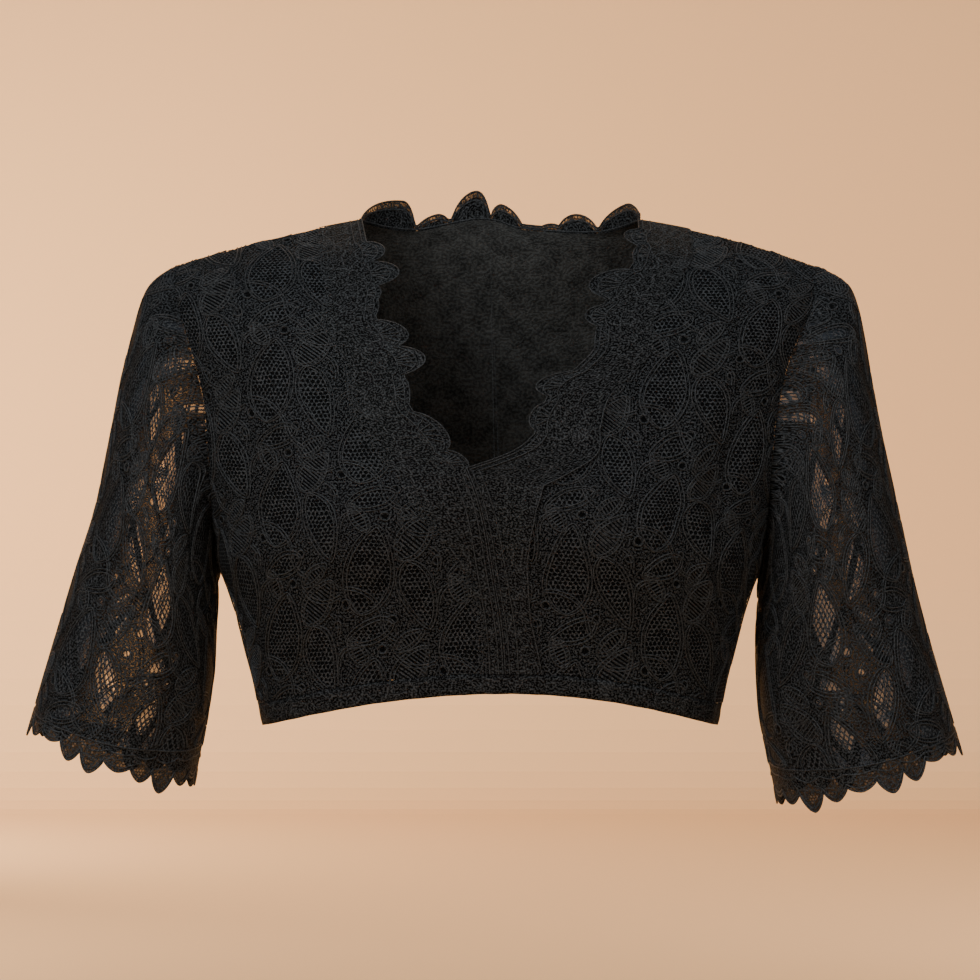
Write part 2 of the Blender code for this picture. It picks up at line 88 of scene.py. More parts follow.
# %% [markdown]
# ## The cut of the body
#
# A maker drafts the front and the back from a few level lines: how wide, how high and how deep the
# cloth stands at each. The same tables are the source of the solids, so the dressed cloth lies on
# them. All sizes are in millimetres. A smooth curve through the rows gives as many levels as the
# cloth needs, far more than the solids have.

# %% Tables of the front
FRONT_LOWER = (
    # inner_x, inner_z, outer_x, outer_z, depth, spread, bow
    (10, -296, 148, -320, 88, 0.000, 6), (9, -283, 151, -306, 90, 0.000, 6),
    (8, -265, 154, -291, 94, 0.000, 5), (6, -247, 158, -276, 99, 0.000, 4),
    (3, -229, 162, -260, 105, 0.000, 3), (0, -211, 166, -245, 110, 0.000, 2),
    (-3, -193, 171, -230, 115, 0.000, 1), (-8, -172, 177, -214, 117, 0.000, 0),
    (-15, -154, 178, -196, 116, 0.012, 0),
)
FRONT_UPPER_RIGHT = (
    (-15, -154, -178, -196, 116, 0.012, 0), (-25, -145, -179, -180, 114, 0.030, 0),
    (-38, -132, -180, -160, 111, 0.050, 0), (-52, -113, -182, -135, 106, 0.060, 0),
    (-55, -94, -184, -112, 99, 0.060, 0), (-63, -76, -189, -90, 91, 0.055, 0),
    (-73, -59, -195, -71, 81, 0.050, 0), (-72, -40, -201, -52, 66, 0.040, 0),
    (-79, -15, -205, -35, 41, 0.030, 1), (-85, 9, -205, -20, 0, 0.030, 2),
)
FRONT_UPPER_LEFT = (
    (-15, -154, 178, -196, 116, 0.012, 0), (6, -147, 179, -180, 114, 0.030, 0),
    (25, -138, 180, -162, 111, 0.050, 0), (32, -123, 182, -142, 107, 0.060, 0),
    (39, -105, 184, -120, 102, 0.060, 0), (56, -90, 188, -101, 95, 0.058, 0),
    (68, -76, 193, -84, 88, 0.052, 0), (70, -56, 201, -65, 76, 0.045, 0),
    (82, -37, 208, -49, 62, 0.038, 0), (97, -15, 211, -34, 40, 0.030, 1),
    (98, 9, 211, -20, 0, 0.030, 3),
)
LOWER_CELLS = 32
UPPER_CELLS = 60
UNDERARM_ROW = 28
BORDER_SHARE = 0.27
BORDER_CELLS = 10
SIDE_CELLS = 34

# %% Tables of the back
BACK_ROWS = (
    # side_x, side_z, middle_z, depth, spread
    (148, -320, -304, 80, 0.000), (151, -306, -291, 81, 0.000), (157, -278, -264, 84, 0.000),
    (164, -251, -238, 88, 0.000), (170, -231, -216, 91, 0.000), (177, -214, -196, 93, 0.000),
    (178, -196, -172, 95, 0.014), (179, -180, -150, 96, 0.034), (181, -150, -118, 96, 0.055),
    (184, -118, -86, 94, 0.062), (190, -88, -56, 90, 0.058), (201, -60, -30, 82, 0.046),
    (208, -38, -9, 74, 0.032), (208, -20, 9, 64, 0.030),
)
BACK_UNDERARM_KEY = 5
BACK_LOWER_CELLS = 24
BACK_UPPER_CELLS = 64
SHOULDER_CELLS = 14
NECK_CELLS = 48
NECK_RIGHT_X, NECK_LEFT_X, NECK_Z = -85, 98, 9
SHOULDER_RIGHT_X, SHOULDER_LEFT_X, SHOULDER_Z = -205, 211, -20
NECK_DEPTH = 60
NECK_SHARE = 0.46
BACK_NECK = (
    # x, z
    (-85, 9), (-64, 6), (-47, 6), (-30, 10), (-10, 14), (5, 13), (20, 8), (50, 5), (76, 4), (98, 9),
)

# %% How the sections bend
SECTION_POWER = 2.4
SHOULDER_SEAM_Y = 5
SHOULDER_TURN_Z = -60
SIDE_FADE = 1.6
FULL_DEPTH = 80
LEVEL_POWER = 2.2
WIDTH_BLEND_POWER = 1.5
HEIGHT_BLEND_POWER = 3
SHOULDER_TURN_POWER = 3.6
NECK_TURN_POWER = 2.2
SEAM_GAP = 0.4
ARMHOLE_FOOT = -206

# %% [markdown]
# ## Bust, folds and creases
#
# The large hills and troughs are the ones that the solids have. The fine creases are only here:
# each is listed, with its own length, width and depth, where the cloth pulls from the bust
# to the armhole, hangs in from the bust to the hem, or is drawn in at the waist.

# %% Form of the cloth: centre x and z, reach across and along, depth, lean in degrees
FRONT_FORM = (
    (-88, -188, 52, 46, 7.0, 0), (86, -188, 52, 46, 7.0, 0), (4, -196, 26, 42, -3.5, 0),
    (120, -186, 9, 44, -2.6, 8), (-70, -235, 10, 40, -2.4, -12), (150, -150, 11, 44, -3.0, -18),
    (-152, -140, 11, 48, -2.4, 14),
)
FRONT_CREASES = (
    (-68, -232, 4.5, 34, -1.6, -14), (-58, -238, 5.0, 30, 1.2, -12), (-96, -246, 5.0, 24, -1.1, -6),
    (-126, -236, 4.0, 28, 1.0, 8), (-140, -128, 4.5, 34, -1.4, 18), (-128, -118, 5.5, 28, 1.2, 22),
    (-158, -170, 4.0, 26, 1.1, 6), (128, -144, 3.6, 28, 2.2, -3), (121, -150, 4.0, 26, -1.4, -2),
    (124, -208, 4.0, 38, -2.2, 14), (134, -204, 4.4, 40, 2.2, 12), (146, -192, 4.2, 38, -2.0, 8),
    (152, -150, 4.5, 36, -1.8, -16), (142, -118, 5.5, 30, 1.6, -22), (96, -250, 4.5, 26, -1.4, 10),
    (62, -258, 4.0, 20, 0.9, 4), (38, -232, 5.0, 26, -1.0, -6),
)
BACK_FORM = (
    (0, -150, 16, 90, -3.0, 0), (-88, -110, 46, 50, 4.0, 0), (88, -110, 46, 50, 4.0, 0),
    (-110, -215, 10, 48, -2.6, 14), (105, -225, 10, 44, -2.6, -12),
)
BACK_CREASES = (
    (-40, -244, 5.0, 30, -1.5, 6), (-26, -250, 5.0, 26, 1.1, 4), (22, -236, 4.5, 34, -1.4, -5),
    (64, -252, 5.0, 24, 1.2, -10), (-78, -238, 4.5, 30, 1.2, 12), (-128, -196, 4.5, 34, -1.6, 20),
    (132, -190, 4.5, 36, -1.7, -18), (146, -140, 5.0, 34, 1.4, -10), (-148, -136, 5.0, 30, 1.3, 12),
    (8, -60, 6.0, 30, -1.0, 2),
)


def form(x, z, table):
    """Soft hills and troughs laid over a plain surface."""
    total = np.zeros_like(x)
    for at_x, at_z, across, along, depth, lean in table:
        turn = math.radians(lean)
        side = (x - at_x) * math.cos(turn) + (z - at_z) * math.sin(turn)
        length = (z - at_z) * math.cos(turn) - (x - at_x) * math.sin(turn)
        total += depth * np.exp(-((side / across) ** 2) - (length / along) ** 2)
    return total


# %% Curves and sections
def smooth_rows(table, cells):
    """The table's rows read from a Catmull-Rom curve, cells + 1 of them."""
    keys = np.array(table, float)
    padded = np.vstack([2 * keys[0] - keys[1], keys, 2 * keys[-1] - keys[-2]])
    rows = []
    for place in np.linspace(0, len(keys) - 1, cells + 1):
        start = min(int(place), len(keys) - 2)
        t = place - start
        before, first, second, after = padded[start : start + 4]
        bend = t * t * (before - 2.5 * first + 2 * second - 0.5 * after)
        turn = t**3 * (1.5 * (first - second) + 0.5 * (after - before))
        rows.append(first + 0.5 * t * (second - before) + bend + turn)
    return np.array(rows)


def section(x, half_width):
    """How far a section stands out at x, as a share of its depth."""
    share = np.clip(np.abs(x) / half_width, 0, 1)
    return (1 - share**SECTION_POWER) ** (1 / SECTION_POWER)


def normals_of(grid):
    """Unit normals of a grid of points: (across the columns) x (up the rows)."""
    normal = np.cross(np.gradient(grid, axis=1), np.gradient(grid, axis=0))
    return normal / np.maximum(np.linalg.norm(normal, axis=2, keepdims=True), 1e-9)


def clear_of_side_seam(grid, side):
    """The grid with nothing past its side seam: side is -1 for the front and +1 for the back."""
    held = np.maximum(grid[..., 1] * side, SEAM_GAP / 2) * side
    grid[..., 1] = np.where(grid[..., 2] < ARMHOLE_FOOT, held, grid[..., 1])
    return grid


def moved(grid, way, distance):
    """The grid pushed out along its normals. Way is 1 or -1, the side that the outer face is on."""
    return grid + normals_of(grid) * way * distance


def lengths_along(grid, axis=0):
    """How far each point is from its first row or column, measured along the points between."""
    steps = np.linalg.norm(np.diff(grid, axis=axis), axis=-1)
    return np.insert(np.cumsum(steps, axis=axis), 0, 0, axis=axis)


# %% The front: one half at a time, from the hem to the shoulder seam
def front_half(upper):
    """Points of one half of the front, and the side that its outer face is on."""
    sign = 1.0 if upper[-1][2] > 0 else -1.0
    lower = smooth_rows(FRONT_LOWER, LOWER_CELLS)
    lower[:, 2] *= sign
    rows = np.vstack([lower, smooth_rows(upper, UPPER_CELLS)[1:]])
    under_border = np.linspace(0, BORDER_SHARE, BORDER_CELLS + 1)
    rest = np.sin(np.linspace(0, 1, SIDE_CELLS + 1)[1:] * np.pi / 2)
    shares = np.concatenate([under_border, BORDER_SHARE + (1 - BORDER_SHARE) * rest])
    points = np.zeros((len(rows), len(shares), 3))
    for i, (inner_x, inner_z, outer_x, outer_z, depth, spread, bow) in enumerate(rows):
        x = inner_x + (outer_x - inner_x) * shares
        z = inner_z + (outer_z - inner_z) * shares + bow * 4 * shares * (1 - shares)
        level = section(x, abs(outer_x) * (1 + max(spread, 0)))
        hills = form(x, z, FRONT_FORM) + form(x, z, FRONT_CREASES)
        fullness = hills * np.clip(level * SIDE_FADE, 0, 1) * min(1, depth / FULL_DEPTH)
        rise = np.clip((z - SHOULDER_TURN_Z) / (NECK_Z - SHOULDER_TURN_Z), 0, 1) ** 2
        points[i, :, 0] = x
        points[i, :, 1] = -np.maximum(depth, 0) * level - fullness + SHOULDER_SEAM_Y * rise
        points[i, :, 2] = z
    points[-1, :, 1] = SHOULDER_SEAM_Y - SEAM_GAP / 2
    return clear_of_side_seam(points, -1), sign


front_right, right_way = front_half(FRONT_UPPER_RIGHT)
front_left, left_way = front_half(FRONT_UPPER_LEFT)
print("front half:", front_right.shape[:2], "points")


# %% The back, from the wearer's right to the left
def shoulder_height(x, side):
    neck_x = NECK_LEFT_X if side > 0 else NECK_RIGHT_X
    end_x = SHOULDER_LEFT_X if side > 0 else SHOULDER_RIGHT_X
    bow = (FRONT_UPPER_LEFT if side > 0 else FRONT_UPPER_RIGHT)[-1][6]
    share = np.clip((x - neck_x) / (end_x - neck_x), 0, 1)
    return NECK_Z + (SHOULDER_Z - NECK_Z) * share + bow * 4 * share * (1 - share)


def back_panel():
    lower = smooth_rows(BACK_ROWS[: BACK_UNDERARM_KEY + 1], BACK_LOWER_CELLS)
    rows = np.vstack([lower, smooth_rows(BACK_ROWS[BACK_UNDERARM_KEY:], BACK_UPPER_CELLS)[1:]])
    middle = (NECK_RIGHT_X + NECK_LEFT_X) / 2
    half_neck = (NECK_LEFT_X - NECK_RIGHT_X) / 2
    around = np.linspace(0, np.pi, NECK_CELLS + 1)
    right = np.linspace(-1, -NECK_SHARE, SHOULDER_CELLS + 1)[:-1]
    across = np.linspace(-NECK_SHARE, NECK_SHARE, NECK_CELLS + 1)
    shares = np.concatenate([right, across, -right[::-1]])
    top_right = np.linspace(SHOULDER_RIGHT_X, NECK_RIGHT_X, SHOULDER_CELLS + 1)[:-1]
    top_left = np.linspace(NECK_LEFT_X, SHOULDER_LEFT_X, SHOULDER_CELLS + 1)[1:]
    top_x = np.concatenate([top_right, middle - half_neck * np.cos(around), top_left])
    neck = smooth_rows(BACK_NECK, NECK_CELLS)
    top_z = np.interp(top_x, neck[:, 0], neck[:, 1])
    top_z = np.where(top_x < NECK_RIGHT_X, shoulder_height(top_x, -1), top_z)
    top_z = np.where(top_x > NECK_LEFT_X, shoulder_height(top_x, 1), top_z)
    dip = np.clip(1 - ((top_x - middle) / half_neck) ** 2, 0, 1) ** 0.5
    top_y = SHOULDER_SEAM_Y + SEAM_GAP / 2 + NECK_DEPTH * dip
    lift = 1 - np.abs(shares) ** LEVEL_POWER
    plain_top = rows[-1, 1] + (rows[-1, 2] - rows[-1, 1]) * lift
    last_x = rows[-1, 0]
    points = np.zeros((len(rows), len(shares), 3))
    for i, (side_x, side_z, middle_z, depth, spread) in enumerate(rows):
        climb = max(0, i - BACK_LOWER_CELLS) / BACK_UPPER_CELLS
        blend = climb**WIDTH_BLEND_POWER
        side_shift = np.where(shares > 0, SHOULDER_LEFT_X - last_x, last_x + SHOULDER_RIGHT_X)
        x = side_x * np.sin(shares * np.pi / 2) * (1 - blend) + top_x * blend
        edge = np.abs(shares) > 0.999
        x = np.where(edge, side_x * np.sign(shares) + side_shift * blend, x)
        z = side_z + (middle_z - side_z) * lift
        z = z + (top_z - plain_top) * climb**HEIGHT_BLEND_POWER
        level = section(x, side_x * (1 + max(spread, 0)))
        hills = form(x, z, BACK_FORM) + form(x, z, BACK_CREASES)
        y = depth * level + hills * np.clip(level * SIDE_FADE, 0, 1)
        over_shoulder = 1 - (1 - climb**SHOULDER_TURN_POWER) ** 0.5
        lean_in = over_shoulder * (1 - dip) + climb**NECK_TURN_POWER * dip
        points[i, :, 0] = x
        points[i, :, 1] = y * (1 - lean_in) + top_y * lean_in
        points[i, :, 2] = z
    points[-1, :, 1] = top_y
    return clear_of_side_seam(points, 1)


back = back_panel()
print("back:", back.shape[:2], "points")

# %% [markdown]
# ## The sleeves
#
# Each sleeve starts on the armhole's own curve and turns, ring by ring, into a plain wide tube
# that hangs open at the elbow. Its lengthwise folds grow towards the hem.

# %% Tables of the sleeves
SLEEVE_RIGHT = (
    # outer_x, outer_z, inner_x, inner_z, half_depth, armhole_share
    (-205, -20, -177, -214, 46, 1.00), (-214, -25, -178, -217, 49, 0.85),
    (-224, -35, -178, -221, 53, 0.68), (-229, -47, -178, -226, 56, 0.50),
    (-233, -62, -179, -232, 58, 0.34), (-240, -89, -179, -243, 60, 0.18),
    (-247, -125, -180, -257, 62, 0.06), (-258, -178, -181, -277, 62, 0.00),
    (-270, -216, -182, -291, 62, 0.00), (-284, -262, -185, -308, 62, 0.00),
    (-298, -309, -190, -333, 63, 0.00),
)
SLEEVE_LEFT = (
    (211, -20, 177, -214, 46, 1.00), (222, -24, 177, -218, 49, 0.85), (234, -32, 177, -222, 53, 0.68),
    (240, -45, 177, -227, 56, 0.50), (244, -63, 176, -233, 58, 0.34), (249, -92, 176, -244, 60, 0.18),
    (256, -130, 175, -258, 62, 0.06), (267, -180, 175, -278, 63, 0.00),
    (278, -230, 176, -296, 64, 0.00), (291, -278, 178, -316, 65, 0.00),
    (304, -322, 184, -345, 66, 0.00),
)
SLEEVE_RINGS = 60
SLEEVE_HEM_DROP = 8
FOLD_GROWTH = 1.3
SLEEVE_FOLDS = (
    # around, width, depth
    (62, 14, -3.6), (96, 13, 3.0), (128, 14, -3.2), (205, 18, 3.0), (246, 16, -4.0), (290, 18, 3.2),
)
# Short creases of a sleeve: place round it, place down it (0 to 1), width, reach down, depth.
SLEEVE_CREASES = (
    (40, 0.34, 7, 0.16, 1.3), (78, 0.22, 6, 0.14, -1.5), (112, 0.40, 6, 0.20, 1.4),
    (150, 0.30, 8, 0.18, -1.8), (166, 0.48, 7, 0.16, 1.6), (215, 0.36, 8, 0.20, -1.5),
    (262, 0.50, 7, 0.22, 1.4), (318, 0.28, 7, 0.16, -1.2),
)


# %% Rings of a sleeve, from the armhole to the hem
def sleeve_rings(table, front_edge, back_edge):
    armhole = np.vstack([front_edge[:-1], back_edge[::-1][:-1]])
    foot = len(front_edge) - 1
    armhole[0] = (front_edge[0] + back_edge[0]) / 2
    armhole[foot] = (front_edge[-1] + back_edge[-1]) / 2
    over_back = np.linspace(np.pi, 2 * np.pi, len(back_edge))
    turn = np.concatenate([np.linspace(0, np.pi, foot + 1), over_back[1:-1]])

    def ellipse(row):
        outer = np.array([row[0], 0, row[1]])
        inner = np.array([row[2], 0, row[3]])
        ring = (outer + inner) / 2 + np.outer(np.cos(turn), (outer - inner) / 2)
        ring[:, 1] -= row[4] * np.sin(turn)
        return ring

    rows = smooth_rows(table, SLEEVE_RINGS)
    own_shape = armhole - ellipse(rows[0])
    rings = []

    def gap_to(around):
        return (np.degrees(turn) - around + 180) % 360 - 180

    for i, row in enumerate(rows):
        down = i / (len(rows) - 1)
        ring = ellipse(row) + own_shape * row[5]
        ring[:, 2] -= SLEEVE_HEM_DROP * down**2 * np.abs(np.sin(turn))
        away = ring - ring.mean(axis=0)
        away /= np.linalg.norm(away, axis=1, keepdims=True)
        push = np.zeros(len(turn))
        for around, width, depth in SLEEVE_FOLDS:
            push += depth * down**FOLD_GROWTH * np.exp(-((gap_to(around) / width) ** 2))
        for around, at, width, reach, depth in SLEEVE_CREASES:
            push += depth * np.exp(-((gap_to(around) / width) ** 2) - ((down - at) / reach) ** 2)
        rings.append(ring + away * push[:, None])
    return np.array(rings)


def sleeve_grid(rings):
    """Rows from the hem up, columns from the underarm seam round the outside and back to it."""
    foot = UNDERARM_TO_SHOULDER
    order = list(range(foot, rings.shape[1])) + list(range(0, foot + 1))
    return rings[::-1, order]


UNDERARM_TO_SHOULDER = len(front_right) - 1 - UNDERARM_ROW
LACE_LIFT = 0.6


def armhole_edge(points, way, column, first_row):
    """The armhole edge of a panel, on the lace's own surface, from the shoulder down."""
    return moved(points, way, LACE_LIFT)[first_row:, column][::-1]


# %% Make both sleeves
sleeves = {}
for side, half, way, column, table in (
    ("right", front_right, right_way, 0, SLEEVE_RIGHT),
    ("left", front_left, left_way, -1, SLEEVE_LEFT),
):
    front_edge = armhole_edge(half, way, -1, UNDERARM_ROW)
    back_edge = armhole_edge(back, -1, column, BACK_LOWER_CELLS)
    sleeves[side] = sleeve_rings(table, front_edge, back_edge)
    print("sleeve", side, sleeves[side].shape[:2], "points")

# %% [markdown]
# ## Flat cloth
#
# Lace is made flat, so its pattern is drawn flat too. Each point of the cloth gets the place, in
# metres, that it had on the flat piece: how far it lies across from the centre, and how far up.
# That pair is the UV map called `cloth`. The shader draws the net there, and Geometry Nodes lay
# the cords there, so the two always meet.

# %% Flat places
def flat_panel(grid, across):
    """Across as given, and up by height plus what the slope of the cloth adds."""
    extra = np.linalg.norm(np.diff(grid, axis=0), axis=2).mean(axis=1)
    extra -= np.abs(np.diff(grid[..., 2], axis=0)).mean(axis=1)
    up = grid[..., 2] + np.concatenate([[0], np.cumsum(extra)])[:, None]
    return np.stack([across, up], axis=2) * MM


def flat_front(grid, way):
    """Across from the centre front line."""
    return flat_panel(grid, grid[:, :1, 0] + lengths_along(grid, 1) * way)


def flat_back(grid):
    """Across from the centre back line."""
    across = lengths_along(grid, 1)
    return flat_panel(grid, across - across[:, across.shape[1] // 2][:, None])


def flat_tube(grid):
    """Across from the outer line, which hangs down from the shoulder, and up from the hem."""
    across = lengths_along(grid, 1)
    shoulder = grid.shape[1] - 1 - UNDERARM_TO_SHOULDER
    return np.stack([across - across[:, shoulder][:, None], lengths_along(grid, 0)], axis=2) * MM


def flat_strip(across, up):
    """One row of places across, and the ways up of a whole grid."""
    return np.stack([np.broadcast_to(across, up.shape), up], axis=2) * MM


# %% A cloth object from grids of points
WELD_M = 1e-5


def cloth_object(name, pieces, material):
    """pieces holds (grid in mm, flat places, way out) for each part. Shared edges are welded."""
    verts, faces, places = [], [], []
    for grid, flat, way in pieces:
        start = len(verts)
        rows, columns = grid.shape[:2]
        verts.extend((grid.reshape(-1, 3) * MM).tolist())
        flat = flat.reshape(-1, 2)
        for r in range(rows - 1):
            for c in range(columns - 1):
                a = r * columns + c
                corners = [a, a + 1, a + columns + 1, a + columns]
                if way < 0:
                    corners = corners[::-1]
                faces.append([start + k for k in corners])
                places.extend(flat[corners].ravel().tolist())
    mesh = bpy.data.meshes.new(name)
    mesh.from_pydata(verts, [], faces)
    layer = mesh.uv_layers.new(name="cloth")
    layer.uv.foreach_set("vector", places)
    bm = bmesh.new()
    bm.from_mesh(mesh)
    bmesh.ops.remove_doubles(bm, verts=bm.verts, dist=WELD_M)
    bm.to_mesh(mesh)
    bm.free()
    mesh.shade_smooth()
    mesh.materials.append(material)
    return placed(name, mesh)


def area_of(obj):
    return sum(face.area for face in obj.data.polygons)


# %% [markdown]
# ## Shader maths as plain Python
#
# A pattern is easier to read as a sum than as a picture of forty nodes. `Sock` wraps a socket, and
# an expression on it adds the Math nodes. `Tree` makes any other node, and `Finish` is a material.

# %% Sockets that can be calculated with
def maths(operation, *fixed):
    """A method of Sock that adds one Math node."""

    def method(self, *others):
        return self.owner.node("ShaderNodeMath", {"operation": operation}, [self, *others, *fixed])

    return method


class Sock:
    """A socket. Odd is 1 for an odd whole number, else 0."""

    def __init__(self, owner, socket):
        self.owner = owner
        self.socket = socket

    __add__ = maths("ADD")
    __radd__ = maths("ADD")
    __sub__ = maths("SUBTRACT")
    __mul__ = maths("MULTIPLY")
    __truediv__ = maths("DIVIDE")
    __pow__ = maths("POWER")
    __abs__ = maths("ABSOLUTE")
    floor = maths("FLOOR")
    fract = maths("FRACT")
    root = maths("SQRT")
    at_least = maths("MAXIMUM")
    at_most = maths("MINIMUM")
    odd = maths("FLOORED_MODULO", 2.0)

    def __rsub__(self, other):
        return self.owner.node("ShaderNodeMath", {"operation": "SUBTRACT"}, [other, self])

    def off_middle(self):
        """How far a value is from the middle between two whole numbers."""
        return abs(self.fract() - 0.5)

    def ramp(self, low, high):
        """0 at low, 1 at high and smooth between, also where low is the larger one."""
        values = {"Value": self, "From Min": low, "From Max": high}
        settings = {"interpolation_type": "SMOOTHSTEP", "clamp": True}
        return self.owner.node("ShaderNodeMapRange", settings, values)


def highest(socks):
    return functools.reduce(Sock.at_least, socks)


def length_of(x, z):
    return (x * x + z * z).root()


# %% A node tree that is written, not wired
DRIFT_SCALE = 13.0
DRIFT_MM = 7.0
GRAIN_SCALE = 760.0
GRAIN_RAMP = (0.42, 0.58)
NOISE_MIDDLE = (0.5, 0.5, 0.5)
LOOK_SOCKETS = ("Roughness", "Sheen Weight", "Sheen Roughness", "Specular IOR Level")


class Tree:
    def __init__(self, tree):
        self.tree = tree

    def node(self, kind, settings=None, values=None, out=0):
        """A node of this kind: its settings first, then a number, colour or Sock for its sockets."""
        node = self.tree.nodes.new(kind)
        for key, value in (settings or {}).items():
            setattr(node, key, value)
        pairs = enumerate(values) if isinstance(values, list) else (values or {}).items()
        for key, value in pairs:
            if isinstance(value, Sock):
                self.tree.links.new(value.socket, node.inputs[key])
            else:
                node.inputs[key].default_value = value
        return Sock(self, node.outputs[out])

    def vector(self, operation, values):
        return self.node("ShaderNodeVectorMath", {"operation": operation}, values)

    def first_two(self, place):
        """The first two numbers of a place."""
        return [self.node("ShaderNodeSeparateXYZ", None, [place], out=k) for k in (0, 1)]

    def drift(self, place, scale=DRIFT_SCALE, reach=DRIFT_MM):
        """A small slow shift of the pattern, so that no two repeats are quite the same."""
        values = {"Vector": place, "Scale": scale, "Detail": 1.0}
        noise = self.node("ShaderNodeTexNoise", None, values, out=1)
        centred = self.vector("SUBTRACT", [noise, NOISE_MIDDLE])
        return self.vector("SCALE", {0: centred, "Scale": 2 * reach * MM})


class Finish(Tree):
    """One Principled material. Its look is a value for each of LOOK_SOCKETS."""

    def __init__(self, name, look):
        self.material = bpy.data.materials.new(name)
        self.material.use_nodes = True
        super().__init__(self.material.node_tree)
        self.shader = self.tree.nodes["Principled BSDF"]
        for socket, value in zip(LOOK_SOCKETS, look):
            self.shader.inputs[socket].default_value = value
        self.flat = self.node("ShaderNodeUVMap", {"uv_map": "cloth"})

    def pulled(self, scale, reach):
        """Across and up of the flat place after a drift."""
        shift = self.drift(self.flat, scale, reach)
        return self.first_two(self.vector("ADD", [self.flat, shift]))

    def noise(self, vector, scale, detail=2.0, roughness=0.5):
        values = {"Vector": vector, "Scale": scale, "Detail": detail, "Roughness": roughness}
        return self.node("ShaderNodeTexNoise", None, values)

    def grain(self):
        """The fine speckle that all the laces share."""
        return self.noise(self.flat, GRAIN_SCALE, 1.0).ramp(*GRAIN_RAMP)

    def colour_mix(self, share, *colours):
        """A share of the second colour over the first. Each is three numbers or a Sock."""
        first, second = [c if isinstance(c, Sock) else (*c, 1.0) for c in colours]
        values = {0: share, 6: first, 7: second}
        return self.node("ShaderNodeMix", {"data_type": "RGBA"}, values, out=2)

    def set(self, socket, value):
        self.tree.links.new(value.socket, self.shader.inputs[socket])

    def bump(self, height, distance, strength=1.0):
        values = {"Height": height, "Distance": distance, "Strength": strength}
        self.set("Normal", self.node("ShaderNodeBump", None, values))


# %% [markdown]
# ## The lace
#
# Large drop-shaped cells filled with net of small holes lie close together. Small cells filled
# with bars sit in the gaps, with a few rings. Each cell has a doubled outline, and the bands
# between are dense and grainy. It is a common leaf lace, drawn here on its own tile: the tile
# repeats across, and every other column drops by half.

# %% The tile
TILE_WIDTH = 64.0
TILE_HEIGHT = 88.0
LEAVES = (
    # x, z, half_width, half_length, lean, taper, fill
    (-14.0, 6.0, 15.5, 30.0, 10.0, 0.30, "net"),
    (17.5, -9.0, 12.0, 25.0, -20.0, -0.30, "net"),
    (14.5, 29.0, 9.5, 17.5, 38.0, 0.25, "bars"),
    (-12.5, -35.0, 8.0, 16.5, 68.0, -0.20, "net"),
    (-20.0, 40.0, 5.5, 11.0, -30.0, 0.10, "bars"),
    (13.0, -41.0, 5.5, 12.0, 52.0, 0.10, "bars"),
)
RINGS = (
    # x, z, radius
    (3.5, 22.5, 2.6), (-29.5, -17.0, 3.2), (2.0, -27.0, 2.8), (28.5, 14.0, 2.8), (-4.0, 41.5, 3.0),
)
LEAF_ROUNDNESS = 0.62
INNER_CORD = 2.6
NET_PITCH = 3.1
DIAMOND_PITCH = 3.8
BAR_PITCH = 2.3


def leaf_width(along, taper):
    """Half width of a leaf at a place along it, from -1 at the stem to 1 at the tip."""
    return np.clip(1 - along * along, 0, 1) ** LEAF_ROUNDNESS * (1 - taper * along)


# %% Parts of the pattern
BEYOND_TIP = 4
DIAMOND_LEAN = 0.62
HEXAGON_THREADS = (0.31, 0.41)
DIAMOND_THREADS = (0.25, 0.36)


def tile_place(across, up):
    """Where a flat place lies within its tile, in mm from the tile's centre."""
    column = across / (TILE_WIDTH * MM) + 0.5
    shift = column.floor().odd() * 0.5
    row = up / (TILE_HEIGHT * MM) + shift + 0.5
    return (column.fract() - 0.5) * TILE_WIDTH, (row.fract() - 0.5) * TILE_HEIGHT


def leaf_depth(x, z, leaf):
    """How far inside a leaf's outline a place is in mm, and how far along the leaf it is."""
    leaf_x, leaf_z, half_width, half_length, lean, taper, _ = leaf
    turn = math.radians(lean)
    dx = x - leaf_x
    dz = z - leaf_z
    along = (dz * math.cos(turn) + dx * math.sin(turn)) / half_length
    side = abs(dx * math.cos(turn) - dz * math.sin(turn)) / half_width
    share = 1 - along * along
    width = share.at_least(0.0) ** LEAF_ROUNDNESS * (1 - along * taper)
    beyond = (0 - share).at_least(0.0) * BEYOND_TIP
    return (width - side - beyond) * half_width, along


def hexagon_net(across, up, slack=0.0):
    """Staggered round holes: 0 in a hole and 1 on the threads. Slack makes the holes smaller."""
    net_x = across / (NET_PITCH * MM)
    net_z = up / (NET_PITCH * MM * math.sqrt(3))
    first, second = [
        length_of((net_x + offset).fract() - 0.5, ((net_z + offset).fract() - 0.5) * math.sqrt(3))
        for offset in (0.0, 0.5)
    ]
    return (first.at_most(second) + slack).ramp(*HEXAGON_THREADS)


def diamond_net(across, up, slack=0.0):
    """Two slanting rows of threads. Slack makes them thicker."""
    first = (across + up * DIAMOND_LEAN) / (DIAMOND_PITCH * MM)
    second = (across - up * DIAMOND_LEAN) / (DIAMOND_PITCH * MM)
    return (first.off_middle().at_least(second.off_middle()) + slack).ramp(*DIAMOND_THREADS)


# %% The lace shader
BAR_THREADS = (0.14, 0.32)
CELL_EDGE = 0.6
RING_CELL = (0.6, 1.0)
RING_HOLE = (0.9, 1.4)
OUTLINES = (0.26, 0.42)
LAST_OUTLINE = (-7.4, -6.8)
PORES = (0.3, 0.1)
SLACK_SCALE = 110.0
SLACK = 0.34
PULL_SCALE = 42.0
PULL_MM = 2.6
PORES_IN_CORD = 0.6
# What a place has of itself, what the grain adds, and what a cord adds.
CELL_TONE = (0.30, 0.66)
BAND_TONE = (0.02, 0.68, 0.3)
CELL_HEIGHT = 0.25
BAND_HEIGHT = (0.25, 0.45, 0.35)


